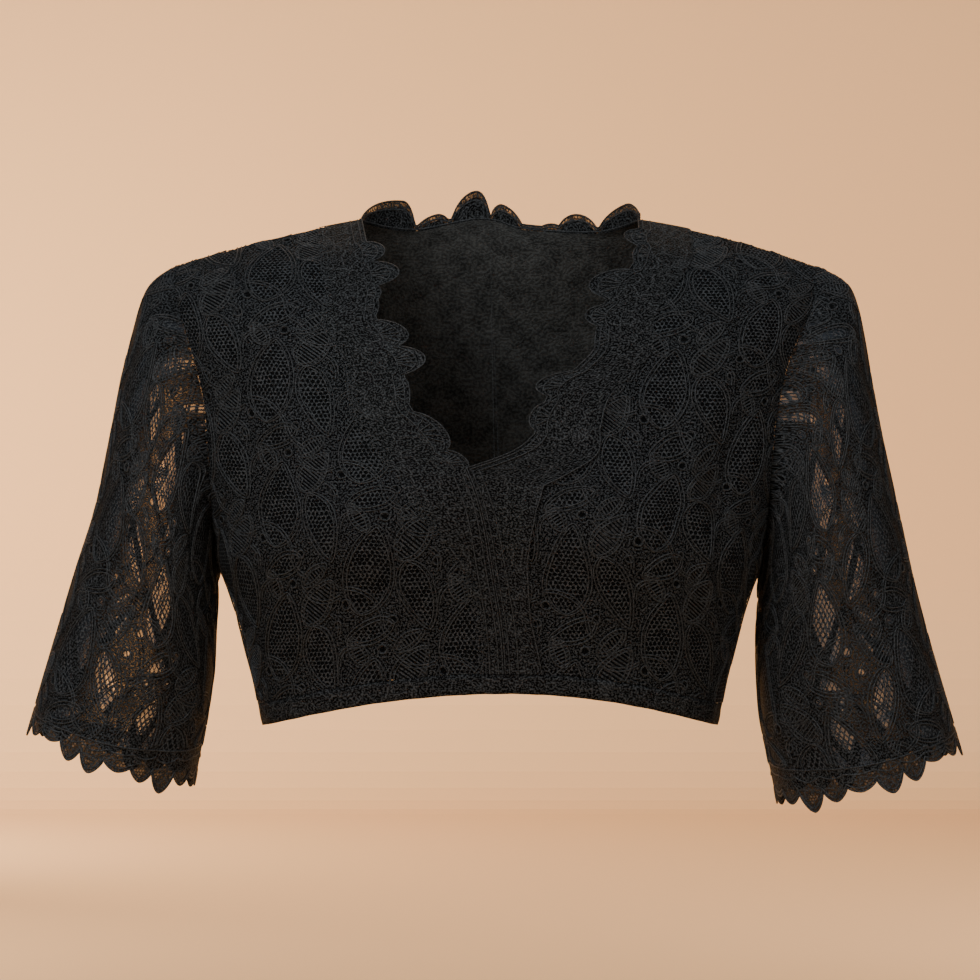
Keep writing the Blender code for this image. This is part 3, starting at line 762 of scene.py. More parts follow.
class Lace:
    """The pattern at a flat place: its cells, holes, cords, grain and tone."""

    def __init__(self, finish, net, rim=1.0, bars=True):
        self.across = finish.first_two(finish.flat)[0]
        self.drifted = finish.pulled(DRIFT_SCALE, DRIFT_MM)
        x, z = tile_place(*self.drifted)
        self.grain = finish.grain()
        slack = (finish.noise(finish.flat, SLACK_SCALE, 1.0) - 0.5) * SLACK
        threads = net(*finish.pulled(PULL_SCALE, PULL_MM), slack)
        cells, holes, depths = [], [], []
        for leaf in LEAVES:
            depth, along = leaf_depth(x, z, leaf)
            cell = depth.ramp(INNER_CORD * rim, INNER_CORD * rim + CELL_EDGE)
            fill = threads
            if bars and leaf[-1] == "bars":
                fill = (along * (leaf[3] / BAR_PITCH)).off_middle().ramp(*BAR_THREADS)
            depths.append(depth)
            cells.append(cell)
            holes.append(cell * (1 - fill))
        for ring_x, ring_z, radius in RINGS:
            depth = radius - length_of(x - ring_x, z - ring_z)
            depths.append(depth)
            cells.append(depth.ramp(*RING_CELL))
            holes.append(depth.ramp(*RING_HOLE))
        nearest = highest(depths)
        self.cells = highest(cells)
        self.holes = highest(holes)
        band = 1 - self.cells
        lines = (nearest / INNER_CORD).off_middle().ramp(*OUTLINES)
        self.cords = lines * nearest.ramp(*LAST_OUTLINE) * band
        self.pores = self.grain.ramp(*PORES) * band * (1 - self.cords * PORES_IN_CORD)
        in_cells = self.cells * (CELL_TONE[0] + self.grain * CELL_TONE[1])
        self.tone = in_cells + band * self.raised(*BAND_TONE)
        self.height = self.cells * CELL_HEIGHT + band * self.raised(*BAND_HEIGHT)

    def raised(self, own, by_grain, by_cords):
        return own + self.grain * by_grain + self.cords * by_cords


# %% Lace of the body and of the sleeves
LACE_LOOK = (0.6, 0.004, 0.35, 0.04)
LACE_BUMP_M = 0.0008
LACE_DARK = (0.0004, 0.0005, 0.0005)
LACE_LIGHT = (0.0450, 0.0484, 0.0525)
LACE_CONTRAST = 1.35
PORES_OPEN = 0.85


def body_lace_finish():
    finish = Finish("black_lace_cloth", LACE_LOOK)
    lace = Lace(finish, hexagon_net)
    finish.set("Base Color", finish.colour_mix(lace.tone**LACE_CONTRAST, LACE_DARK, LACE_LIGHT))
    finish.set("Alpha", 1 - lace.holes.at_least(lace.pores * PORES_OPEN))
    finish.bump(lace.height, LACE_BUMP_M)
    return finish.material


# Where the strip begins and ends, in metres from the outer line of the sleeve.
STRIP_FROM = (0.038, 0.080)
STRIP_TO = (0.142, 0.105)
FRONT_HALF = (-0.01, 0.01)
MOST_OPEN = {"right": 0.9, "left": 0.52}
BACK_OPEN = (0.24, 0.52)
PATCH_SCALE = 48.0
PATCHES = (0.34, 0.54)
# Painted sheen: the cool light tint laid over the net in the strip of a sleeve.
NET_PAINTED_SHEEN = (0.045, 0.057, 0.074)
BAND_PITCH = 38.0
BAND_LEAN = 0.55
BANDS = (0.39, 0.43)
SLEEVE_RIM = 1.5
LEAST_PATCH = 0.35
SLEEVE_PORES = 0.3
BAND_DARK = 0.7
# How much darker the net's holes are painted where they stay closed: painted shade.
HOLE_PAINTED_SHADE = 0.9
# How much of the painted sheen the net in the strip takes.
NET_PAINTED_SHEEN_SHARE = 0.8


def sleeve_lace_finish(name, most_open):
    """The sleeve's lace: open in a strip down the front, thin down the back, close elsewhere.
    Its closed holes are painted dark as painted shade, and the net in the strip has a painted sheen.
    """
    finish = Finish(name, LACE_LOOK)
    lace = Lace(finish, diamond_net, rim=SLEEVE_RIM, bars=False)
    across, up = lace.drifted
    slants = [(across + up * lean) / (BAND_PITCH * MM) for lean in (BAND_LEAN, -BAND_LEAN)]
    bands = highest([slant.off_middle().ramp(*BANDS) for slant in slants])
    holes = lace.holes * (1 - bands)
    away = abs(lace.across)
    strip = away.ramp(*STRIP_FROM) * away.ramp(*STRIP_TO)
    front = lace.across.ramp(*FRONT_HALF)
    patches = finish.noise(finish.flat, PATCH_SCALE, 2.0, 0.6).ramp(*PATCHES)
    openness = strip * (LEAST_PATCH + patches * (1 - LEAST_PATCH)) * most_open
    front_holes = holes.at_least(lace.pores * strip * SLEEVE_PORES) * openness
    back_holes = strip * (holes * (BACK_OPEN[1] - BACK_OPEN[0]) + BACK_OPEN[0])
    tone = lace.tone * (1 - bands) + bands * lace.grain * BAND_DARK
    # Painted shade: the net's holes are painted dark where they are not cut open.
    tone = tone * (1 - holes * HOLE_PAINTED_SHADE)
    cloth = finish.colour_mix(tone**LACE_CONTRAST, LACE_DARK, LACE_LIGHT)
    # Painted sheen: the net of the strip is tinted towards a cool light colour.
    painted_sheen = holes * strip * NET_PAINTED_SHEEN_SHARE
    finish.set("Base Color", finish.colour_mix(painted_sheen, cloth, NET_PAINTED_SHEEN))
    finish.set("Alpha", 1 - (front_holes * front + back_holes * (1 - front)))
    finish.bump(lace.height, LACE_BUMP_M)
    return finish.material


# %% Jersey, galloon and thread
JERSEY_LOOK = (0.85, 0.01, 0.6, 0.06)
MOTTLE_SCALE = 60.0
MOTTLE = (0.35, 0.65)
MOTTLE_SHARE = 0.55
STITCH_SCALE = 520.0
STITCHES = (0.38, 0.62)
GALLOON_DARK = (0.0004, 0.0005, 0.0005)
GALLOON_LIGHT = (0.0455, 0.0482, 0.0510)
GALLOON_CONTRAST = 1.25
VEIN_SCALE = 92.0
VEINS = (0.085, 0.03)
# What the galloon has of itself, by its grain and by its veins.
GALLOON_TONE = (0.02, 0.7, 0.26)
GALLOON_HEIGHT = (0.6, 0.4)
RIM_RAGGED = (0.9, 0.5)
RIM = (0.75, 1.0)
WINDOWS = (0.16, 0.24)
NET_WINDOWS = (0.6, 0.3)
GRAIN_WINDOWS = (0.16, 0.04)
GRAIN_OPEN = 0.5
LOOP_EDGE_MM = 2
NET_SHRINK = 1.35
CORD_LOOK = (0.5, 0.01, 0.3, 0.12)
CORD_DARK = (0.0100, 0.0108, 0.0117)
CORD_LIGHT = (0.0480, 0.0510, 0.0545)
TWIST_SCALE = 900.0
TWIST = (0.3, 0.7)
OBJECT_PLACE = 3


def jersey_finish(name, dark, light):
    """Opaque knit, very matt, with uneven patches where it lies against the lace."""
    finish = Finish(name, JERSEY_LOOK)
    mottle = finish.noise(finish.flat, MOTTLE_SCALE, 5.0, 0.75)
    fine = finish.noise(finish.flat, STITCH_SCALE, 1.0).ramp(*STITCHES)
    share = mottle.ramp(*MOTTLE) * MOTTLE_SHARE + fine * (1 - MOTTLE_SHARE)
    finish.set("Base Color", finish.colour_mix(share, dark, light))
    finish.bump(fine, 0.0005, 0.7)
    return finish.material


def galloon_finish(name, fade_mm=0.0, open_share=0.0, loops_mm=0.0):
    """Dense grainy border with light veins. Its outer rim may thin out, and it may be openwork,
    all over or only in loops within a few mm of the rim."""
    finish = Finish(name, LACE_LOOK)
    across, up = finish.first_two(finish.flat)
    grain = finish.grain()
    values = {"Vector": finish.flat, "Scale": VEIN_SCALE}
    edges = finish.node("ShaderNodeTexVoronoi", {"feature": "DISTANCE_TO_EDGE"}, values)
    veins = edges.ramp(*VEINS)
    share = GALLOON_TONE[0] + grain * GALLOON_TONE[1] + veins * GALLOON_TONE[2]
    finish.set("Base Color", finish.colour_mix(share**GALLOON_CONTRAST, GALLOON_DARK, GALLOON_LIGHT))
    finish.bump(grain * GALLOON_HEIGHT[0] + veins * GALLOON_HEIGHT[1], LACE_BUMP_M)
    if fade_mm:
        rim = across / (fade_mm * MM) + grain * RIM_RAGGED[0] + veins * RIM_RAGGED[1]
        finish.set("Alpha", rim.ramp(*RIM))
    if open_share:
        net = hexagon_net(across * NET_SHRINK, up * NET_SHRINK)
        windows = edges.ramp(*WINDOWS) * net.ramp(*NET_WINDOWS)
        openings = windows.at_least(grain.ramp(*GRAIN_WINDOWS) * GRAIN_OPEN)
        if loops_mm:
            openings = openings * up.ramp(-loops_mm * MM, (LOOP_EDGE_MM - loops_mm) * MM)
        finish.set("Alpha", 1 - openings * open_share)
    return finish.material


def cord_finish():
    """A twisted thread a little glossier than the cloth."""
    finish = Finish("black_cord", CORD_LOOK)
    place = finish.node("ShaderNodeTexCoord", None, None, out=OBJECT_PLACE)
    grain = finish.noise(place, TWIST_SCALE, 1.0)
    finish.set("Base Color", finish.colour_mix(grain.ramp(*TWIST), CORD_DARK, CORD_LIGHT))
    finish.bump(grain, 0.0003, 0.6)
    return finish.material


lace = body_lace_finish()
sleeve_nets = {
    side: sleeve_lace_finish(f"black_sleeve_lace_{side}", most_open)
    for side, most_open in MOST_OPEN.items()
}
# The front lining's jersey is the same black jersey painted near black: painted shade where the net's
# holes look onto it.
painted_shade_jersey = jersey_finish("black_jersey_painted_shade", (0.0004, 0.0004, 0.0004), (0.0022, 0.0024, 0.0026))
jersey = jersey_finish("black_jersey_inside", (0.0115, 0.0118, 0.0116), (0.056, 0.0570, 0.0555))
galloon = galloon_finish("black_galloon_cloth")
soft_galloon = galloon_finish("black_galloon_soft_rim", fade_mm=9.0)
firm_galloon = galloon_finish("black_galloon_firm_rim", fade_mm=2.0)
open_galloon = galloon_finish("black_galloon_openwork", open_share=0.22, loops_mm=5.0)
sleeve_galloon = galloon_finish("black_galloon_sleeve", open_share=0.07)
cord = cord_finish()
print("finishes:", [m.name for m in bpy.data.materials])

# %% [markdown]
# ## The shells
#
# Lace and jersey are thin, so each panel is one sheet. The lace lies on the middle of the solid
# wall, and the jersey half a millimetre inside it, where the holes of the net show it. The jersey
# of the front is painted far darker than that of the back, as painted shade behind the net.

# %% Panels of the body
FIRST_LACE_ROW = 4
flat_right = flat_front(front_right, right_way)
flat_left = flat_front(front_left, left_way)
flat_rear = flat_back(back)


def front_layer(distance):
    """Both halves moved out by a distance, with one shared line down the centre front."""
    halves = moved(front_right, right_way, distance), moved(front_left, left_way, distance)
    centre = (slice(LOWER_CELLS + 1), 0)
    shared = (halves[0][centre] + halves[1][centre]) / 2
    for half in halves:
        half[centre] = shared
        half[-1, :, 1] = SHOULDER_SEAM_Y
    return halves


def body_layer(distance):
    """The parts of the front and of the back at a distance, their shoulders drawn to the seam."""
    right, left = front_layer(distance)
    rear = moved(back, -1, distance)
    rear[-1, : SHOULDER_CELLS + 1, 1] = SHOULDER_SEAM_Y
    rear[-1, SHOULDER_CELLS + NECK_CELLS :, 1] = SHOULDER_SEAM_Y
    return [(right, flat_right, right_way), (left, flat_left, left_way)], [(rear, flat_rear, -1)]


def panel(name, parts, material):
    """A cloth of the body from the top of the casing up."""
    above = [(grid[FIRST_LACE_ROW:], flat[FIRST_LACE_ROW:], way) for grid, flat, way in parts]
    obj = cloth_object(name, above, material)
    print(name, round(area_of(obj), 4), "m2")
    return obj


front_parts, back_parts = body_layer(LACE_LIFT)
front_lace = panel("front_lace", front_parts, lace)
back_lace = panel("back_lace", back_parts, lace)

# %% Sleeve lace
sleeve_lace = {}
for side, way in (("right", 1), ("left", -1)):
    grid = sleeve_grid(sleeves[side])
    parts = [(grid, flat_tube(grid), way)]
    sleeve_lace[side] = cloth_object(f"sleeve_lace_{side}", parts, sleeve_nets[side])
    print("sleeve", side, round(area_of(sleeve_lace[side]), 4), "m2")

# %% Linings
LINING_LIFT = 0.1
front_parts, back_parts = body_layer(LINING_LIFT)
# The front lining takes the jersey that is painted in shade.
front_lining = panel("front_lining_cloth", front_parts, painted_shade_jersey)
back_lining = panel("back_lining_cloth", back_parts, jersey)

# %% [markdown]
# ## The hem casing
#
# The hem is turned up into a narrow casing that is drawn in a little, so it is the one thick edge
# of the blouse. A Solidify modifier gives it its wall, and small uneven waves show the gathers.

# %% Casings
CASING_WALL = 2.6
CASING_OUTER = 1.2
CASING_SLACK = 0.4
GATHER_AT_EDGE = 0.45
GATHERS = (
    # pitch in mm, depth, shift
    (9.0, 0.32, 0.0), (5.6, 0.22, 1.7), (23.0, 0.35, 0.6),
)


def gathered(grid, flat, way):
    """The casing's points, pushed in and out by small waves along the hem."""
    along = flat[..., 0] / MM
    waves = sum(depth * np.sin(2 * np.pi * along / pitch + shift) for pitch, depth, shift in GATHERS)
    rows = np.linspace(0, 1, len(grid))[:, None]
    swell = GATHER_AT_EDGE + (1 - GATHER_AT_EDGE) * np.sin(np.pi * rows)
    return moved(grid, way, (waves * swell)[..., None])


def casing(name, parts):
    pieces = []
    for grid, flat, way in parts:
        band = grid[: FIRST_LACE_ROW + 1].copy()
        band[-1, :, 2] -= SEAM_GAP
        flat = flat[: FIRST_LACE_ROW + 1]
        pieces.append((gathered(band, flat, way), flat, way))
    obj = cloth_object(name, pieces, galloon)
    solidify = obj.modifiers.new("wall", "SOLIDIFY")
    solidify.thickness = (CASING_WALL - CASING_SLACK) * MM
    solidify.offset = 1.0
    return obj


front_parts, back_parts = body_layer(CASING_OUTER - CASING_WALL)
casing_front = casing("hem_casing_front_cloth", front_parts)
casing_back = casing("hem_casing_back_cloth", back_parts)
print("casings", round(area_of(casing_front) + area_of(casing_back), 4), "m2")

# %% [markdown]
# ## The scalloped border
#
# A dense galloon lies along both sides of the V and runs on down the centre front. Its free edge
# is cut into lobes of unequal size that reach over the opening. At the back neck the same border
# stands up above the seam.

# %% Tables of the border
SCALLOPS_RIGHT = (
    # at, half_width, reach
    (-13, 7, 12), (-28, 8, 17), (-41, 5, 3), (-51, 6, 3), (-68, 9, 16), (-85, 9, 18), (-105, 9, 4),
    (-130, 12, 11), (-148, 6, 6),
)
SCALLOPS_LEFT = (
    (-3, 6, 12), (-14, 6, 5), (-35, 10, 19), (-56, 7, 10), (-70, 8, 3), (-100, 8, 13), (-121, 9, 8),
    (-138, 7, 3),
)
SCALLOPS_BACK = (
    # at, width_before, width_after, reach
    (-58, 27, 8, 20), (-36, 14, 9, 9), (-9, 17, 9, 20), (9, 9, 13, 13), (42, 10, 8, 6),
    (58, 13, 14, 13), (90, 18, 9, 15),
)
BAND_RIGHT = (
    # z, width
    (-296, 16), (-247, 16), (-229, 18), (-211, 22), (-193, 31), (-172, 40), (-154, 42), (-132, 38),
    (-94, 36), (-40, 34), (9, 30),
)
BAND_LEFT = (
    (-296, 26), (-265, 22), (-247, 20), (-211, 24), (-193, 29), (-172, 38), (-154, 50), (-145, 46),
    (-123, 38), (-90, 36), (9, 34),
)
LEAST_REACH = 1.5
MEASURED_AT = 4.0
LOBE_POWER = 0.6
BORDER_LIFT = 1.9
BORDER_ROW_SPLIT = 3
BORDER_COLUMNS = 14
STANDING_LEAN = 0.1
BACK_BORDER_ROWS = 8
BACK_BORDER_SPLIT = 4


# %% Strips of border
def scallop_reach(at, table):
    """How far the lobes reach. A row of the table has one half width, or one for each side."""
    reach = np.zeros_like(at)
    for tip, *widths, length in table:
        half_width = np.where(at < tip, widths[0], widths[-1])
        share = np.clip(np.abs(at - tip) / half_width, 0, 1)
        reach = np.maximum(reach, length * (1 - share**2) ** LOBE_POWER)
    return reach


def split_columns(grid, parts):
    cells = grid.shape[1] - 1
    places = np.linspace(0, cells, cells * parts + 1)
    start = np.minimum(places.astype(int), cells - 1)
    t = (places - start)[None, :, None]
    return grid[:, start] * (1 - t) + grid[:, start + 1] * t


def split_rows(grid, parts):
    return split_columns(grid.transpose(1, 0, 2), parts).transpose(1, 0, 2)


def point_at(row, distance):
    """A point of a row at this distance from its first point, or before it where negative."""
    lengths = lengths_along(row)
    if distance < 0:
        return row[0] + (row[0] - row[1]) / lengths[1] * -distance
    return np.array([np.interp(distance, lengths, row[:, k]) for k in range(3)])


class Strip:
    """A border along a scalloped edge, with its rows, the reach of the edge and the width."""

    def __init__(self, rows, reach, widths):
        self.rows = rows
        self.reach = reach
        self.widths = widths
        self.along = lengths_along(np.array([point_at(row, MEASURED_AT) for row in rows]))

    def line(self, distances):
        """A line that runs along the strip, at its own distance from the seam line in each row."""
        return np.array([point_at(row, d) for row, d in zip(self.rows, distances)])

    def sheet(self):
        """The strip's grid and its flat places."""
        shares = np.linspace(0, 1, BORDER_COLUMNS + 1)
        grid, flat = [], []
        for row, edge, width, along in zip(self.rows, self.reach, self.widths, self.along):
            places = -edge + shares * (width + edge)
            grid.append([point_at(row, place) for place in places])
            flat.append(np.stack([width - places, np.full(len(places), along)], axis=1) * MM)
        return np.array(grid), np.array(flat)


def v_strip(cover, scallops, band):
    upper = split_rows(cover[LOWER_CELLS:], BORDER_ROW_SPLIT)
    rows = np.concatenate([cover[FIRST_LACE_ROW:LOWER_CELLS], upper])
    below = LOWER_CELLS - FIRST_LACE_ROW
    heights = rows[:, 0, 2]
    reach = np.maximum(scallop_reach(heights, scallops), LEAST_REACH)
    reach[: below + 1] = -SEAM_GAP / 2
    band = np.array(band, float)
    return Strip(rows, reach, np.interp(heights, band[:, 0], band[:, 1]))


# %% Border of the V
cover_right, cover_left = front_layer(BORDER_LIFT)
strips = {
    "right": v_strip(cover_right, SCALLOPS_RIGHT, BAND_RIGHT),
    "left": v_strip(cover_left, SCALLOPS_LEFT, BAND_LEFT),
}
borders = {}
for side, way, rim in (("right", right_way, soft_galloon), ("left", left_way, firm_galloon)):
    grid, flat = strips[side].sheet()
    borders[side] = cloth_object(f"neck_border_{side}_cloth", [(grid, flat, way)], rim)
    print("border", side, grid.shape[:2], "points")

# %% Border of the back neck
NAPE_LIFT = 2.2
NAPE_TOP_LIFT = 0.9
NAPE_LEAST_REACH = 4.0
NAPE_END = 14.0
NAPE_END_SHARE = 0.1
STANDING_SHARES = (0.2, 0.4, 0.6, 0.8, 1.0)
nape_lift = np.full((len(back), 1, 1), NAPE_LIFT)
nape_lift[-1 - BACK_BORDER_ROWS :, 0, 0] = np.linspace(NAPE_LIFT, NAPE_TOP_LIFT, BACK_BORDER_ROWS + 1)
nape = moved(back, -1, nape_lift)
nape = nape[-1 - BACK_BORDER_ROWS :, SHOULDER_CELLS : SHOULDER_CELLS + NECK_CELLS + 1]
nape = split_columns(nape, BACK_BORDER_SPLIT)
nape_top = nape[-1]
from_end = np.minimum(nape_top[:, 0] - NECK_RIGHT_X, NECK_LEFT_X - nape_top[:, 0]) / NAPE_END
nape_least = NAPE_LEAST_REACH * np.clip(from_end, NAPE_END_SHARE, 1)
nape_reach = np.maximum(scallop_reach(nape_top[:, 0], SCALLOPS_BACK), nape_least)


def standing(share):
    """The line of the standing border at a share of each scallop's height."""
    return nape_top + np.outer(nape_reach * share, (0, STANDING_LEAN, 1))


nape_grid = np.concatenate([nape, [standing(share) for share in STANDING_SHARES]])
nape_up = lengths_along(nape_grid)
nape_flat = flat_strip(lengths_along(nape_top), nape_up - nape_up[-1])
borders["back"] = cloth_object("neck_border_back_cloth", [(nape_grid, nape_flat, -1)], open_galloon)
print("border back", nape_grid.shape[:2], "points")

# %% Edging of the sleeves
EDGING_DEPTH = 11.5
EDGING_SLANT = 6.5
EDGING_SPLIT = 4
EDGING_SCALLOPS = 20
EDGING_REACH = 12.5
EDGING_SMALLER = 0.72
EDGING_SIZES = (0.0, 0.65, 1.0, 0.3, 0.15, 0.9, 0.55)
EDGING_LOBE_POWER = 1.7
EDGING_LOBE_TOP = 0.85
EDGING_SHARES = (0.0, 0.25, 0.5, 0.75, 1.0)


def edging_lines(rings, shares, inset=0.0):
    """Lines round the edging, each at a share of its depth, and an inset from the scalloped edge."""
    around = np.concatenate([rings[-2:], rings[-2:, :1]], axis=1)
    before, last = split_columns(around, EDGING_SPLIT)
    along = last - before
    along /= np.linalg.norm(along, axis=1, keepdims=True)
    turn = np.arange(len(last)) / (len(last) - 1)
    phase = turn * EDGING_SCALLOPS
    lobe = (1 - np.abs(2 * (phase % 1) - 1) ** EDGING_LOBE_POWER) ** EDGING_LOBE_TOP
    smaller = np.array(EDGING_SIZES)[np.floor(phase).astype(int) % len(EDGING_SIZES)]
    size = 1 - EDGING_SMALLER * smaller
    depth = EDGING_DEPTH - EDGING_SLANT * np.cos(2 * np.pi * turn) + EDGING_REACH * lobe * size
    return np.array([last + along * (share * (depth - inset))[:, None] for share in shares])


edgings = {}
for side, way in (("right", -1), ("left", 1)):
    grid = edging_lines(sleeves[side], EDGING_SHARES)
    flat = flat_strip(lengths_along(grid[0]), -lengths_along(grid))
    edgings[side] = cloth_object(f"sleeve_edging_{side}_cloth", [(grid, flat, way)], sleeve_galloon)
    print("edging", side, grid.shape[:2], "points")

# %% [markdown]
# ## Cords laid by Geometry Nodes
#
# Every leaf and ring of the lace is outlined with a raised cord. A cord is real thread, so it is
# geometry. One flat tile of lines is instanced over the cloth like the printed repeat, each point
# asks the panel where its flat place went, and only then is the line given its thickness. Points
# that fall off the panel are deleted.

# %% Lines of one tile
LEAF_STEPS = 18
RING_STEPS = 10
SCROLL_STEPS = 10
SCROLL_GAP = 2.2
SHORTEST_BAR = 1.5
SCROLLS = (
    # x, z, end_x, end_z, bulge
    (-31.0, -8.0, -6.0, -25.0, 5.0), (-6.0, -25.0, 8.0, -43.0, -4.0), (30.0, 33.0, 3.0, 40.0, 6.0),
    (31.0, 8.0, 24.0, 22.0, -3.0), (-32.0, 30.0, -20.0, 43.0, 4.0),
)


class Lines:
    """Points and edges of flat or placed lines."""

    def __init__(self):
        self.points = []
        self.edges = []

    def add(self, points, closed=False):
        start = len(self.points)
        self.points.extend([tuple(point) for point in points])
        count = len(points)
        self.edges.extend((start + k, start + k + 1) for k in range(count - 1))
        if closed:
            self.edges.append((start + count - 1, start))

    def object(self, name):
        mesh = bpy.data.meshes.new(name)
        mesh.from_pydata((np.array(self.points, float) * MM).tolist(), self.edges, [])
        return placed(name, mesh)


def on_leaf(leaf, side, along):
    """Points of the tile from their places beside and along a leaf's middle line."""
    turn = math.radians(leaf[4])
    across = leaf[0] + side * math.cos(turn) + along * math.sin(turn)
    up = leaf[1] - side * math.sin(turn) + along * math.cos(turn)
    return np.stack([across, up, 0 * up], axis=1)


def leaf_outline(leaf, inset):
    _, _, half_width, half_length, _, taper, _ = leaf
    along = np.sin(np.linspace(-0.5, 0.5, LEAF_STEPS * 4 + 1) * np.pi)
    side = leaf_width(along, taper) * half_width - inset
    along = along[side > 0]
    side = side[side > 0]
    kept = np.linspace(0, len(along) - 1, LEAF_STEPS).round().astype(int)
    along = along[kept] * half_length
    side = side[kept]
    return on_leaf(leaf, np.concatenate([side, -side[::-1]]), np.concatenate([along, along[::-1]]))


def leaf_bars(leaf):
    """The two ends of each bar across a leaf."""
    _, _, half_width, half_length, _, taper, _ = leaf
    reach = int(half_length / BAR_PITCH)
    for along in np.arange(-reach, reach + 1) * BAR_PITCH:
        side = leaf_width(along / half_length, taper) * half_width
        if side >= SHORTEST_BAR:
            yield on_leaf(leaf, np.array([-side, side]), np.array([along, along]))


def tile_lines():
    lines = Lines()
    for leaf in LEAVES:
        lines.add(leaf_outline(leaf, 0.0), closed=True)
        lines.add(leaf_outline(leaf, INNER_CORD), closed=True)
        for bar in leaf_bars(leaf) if leaf[-1] == "bars" else ():
            lines.add(bar)
    for x, z, radius in RINGS:
        angles = np.arange(RING_STEPS) * 2 * np.pi / RING_STEPS
        circle = np.stack([x + radius * np.cos(angles), z + radius * np.sin(angles), 0 * angles], axis=1)
        lines.add(circle, closed=True)
    t = np.linspace(0, 1, SCROLL_STEPS)[:, None]
    for x, z, end_x, end_z, bulge in SCROLLS:
        start, end = np.array([[x, z, 0]]), np.array([[end_x, end_z, 0]])
        normal = np.array([[z - end_z, end_x - x, 0]]) / math.hypot(end_x - x, end_z - z)
        for offset in (0.0, SCROLL_GAP):
            lines.add(start + (end - start) * t + normal * (4 * bulge * t * (1 - t) + offset))
    return lines.object("lace_tile_lines")


tile = tile_lines()
print("tile:", len(tile.data.vertices), "points")


# %% The tree that turns lines into cords
def new_tree(name, inputs):
    """A Geometry Nodes tree with named inputs: returns it and its input node as Socks."""
    group = bpy.data.node_groups.new(name, "GeometryNodeTree")
    group.interface.new_socket("Geometry", in_out="INPUT", socket_type="NodeSocketGeometry")
    for label, kind, value in inputs:
        socket = group.interface.new_socket(label, in_out="INPUT", socket_type=kind)
        if value is not None:
            socket.default_value = value
    group.interface.new_socket("Geometry", in_out="OUTPUT", socket_type="NodeSocketGeometry")
    tree = Tree(group)
    source = group.nodes.new("NodeGroupInput")
    given = {socket.name: Sock(tree, socket) for socket in source.outputs if socket.name}
    return group, tree, given


def end_as_cord(tree, given, lines):
    """Sweep a round section along the lines, and finish the tree."""
    ring = {"Resolution": given["Sides"], "Radius": given["Cord radius"]}
    profile = tree.node("GeometryNodeCurvePrimitiveCircle", None, ring)
    curve = tree.node("GeometryNodeMeshToCurve", None, {"Mesh": lines})
    sweep = {"Curve": curve, "Profile Curve": profile, "Fill Caps": True}
    step = tree.node("GeometryNodeCurveToMesh", None, sweep)
    step = tree.node("GeometryNodeSetShadeSmooth", None, {"Geometry": step})
    step = tree.node("GeometryNodeRealizeInstances", None, {"Geometry": step})
    step = tree.node("GeometryNodeSetMaterial", None, {"Geometry": step, "Material": given["Thread"]})
    out = tree.tree.nodes.new("NodeGroupOutput")
    tree.tree.links.new(step.socket, out.inputs[0])


CORD_INPUTS = [
    ("Cord radius", "NodeSocketFloat", 0.00045),
    ("Sides", "NodeSocketInt", 4),
    ("Thread", "NodeSocketMaterial", None),
]
LATTICE_INPUTS = [
    ("Panel", "NodeSocketObject", None),
    ("Tiles across", "NodeSocketInt", 9),
    ("Tiles up", "NodeSocketInt", 9),
    ("Tile width", "NodeSocketFloat", TILE_WIDTH * MM),
    ("Tile height", "NodeSocketFloat", TILE_HEIGHT * MM),
    ("Lift", "NodeSocketFloat", 0.0003),
]
OF_VECTORS = {"data_type": "FLOAT_VECTOR"}
PANEL_GEOMETRY = 4
IS_FOUND = 1


def lattice_tree():
    group, tree, given = new_tree("cords_over_cloth", LATTICE_INPUTS + CORD_INPUTS)

    def shaped(kind, **values):
        return tree.node("GeometryNode" + kind, None, values)

    width, height = given["Tile width"], given["Tile height"]
    grid = {
        "Size X": (given["Tiles across"] - 1) * width,
        "Size Y": (given["Tiles up"] - 1) * height,
        "Vertices X": given["Tiles across"],
        "Vertices Y": given["Tiles up"],
    }
    centres = tree.node("GeometryNodeMeshGrid", None, grid)
    position = tree.node("GeometryNodeInputPosition")
    column = tree.first_two(position)[0] / width
    drop = (column + 0.5).floor().odd() * height * -0.5
    offset = tree.node("ShaderNodeCombineXYZ", None, {"Y": drop})
    centres = shaped("SetPosition", Geometry=centres, Offset=offset)
    tiles = shaped("InstanceOnPoints", Points=centres, Instance=given["Geometry"])
    flat = shaped("RealizeInstances", Geometry=tiles)
    near = tree.vector("SUBTRACT", [position, tree.drift(position)])
    near = tree.vector("SUBTRACT", [position, tree.drift(near)])
    flat = shaped("SetPosition", Geometry=flat, Position=near)
    panel = tree.node("GeometryNodeObjectInfo", None, {"Object": given["Panel"]}, out=PANEL_GEOMETRY)
    places = tree.node("GeometryNodeInputNamedAttribute", OF_VECTORS, {"Name": "cloth"})

    def asked(value, out=0):
        """What the panel has where its own flat place is this position."""
        sockets = {"Mesh": panel, "Value": value, "Source UV Map": places, "Sample UV": position}
        return tree.node("GeometryNodeSampleUVSurface", OF_VECTORS, sockets, out=out)

    missed = tree.node("FunctionNodeBooleanMath", {"operation": "NOT"}, [asked(position, IS_FOUND)])
    normal = asked(tree.node("GeometryNodeInputNormal"))
    lift = tree.vector("SCALE", {0: normal, "Scale": given["Lift"]})
    place = tree.vector("ADD", [asked(position), lift])
    laid = {"Geometry": flat, "Name": "laid", "Value": place}
    laid = tree.node("GeometryNodeStoreNamedAttribute", OF_VECTORS, laid)
    kept = shaped("DeleteGeometry", Geometry=laid, Selection=missed)
    where = tree.node("GeometryNodeInputNamedAttribute", OF_VECTORS, {"Name": "laid"})
    end_as_cord(tree, given, shaped("SetPosition", Geometry=kept, Position=where))
    return group


def plain_cord_tree():
    group, tree, given = new_tree("cords_along_lines", CORD_INPUTS)
    end_as_cord(tree, given, given["Geometry"])
    return group


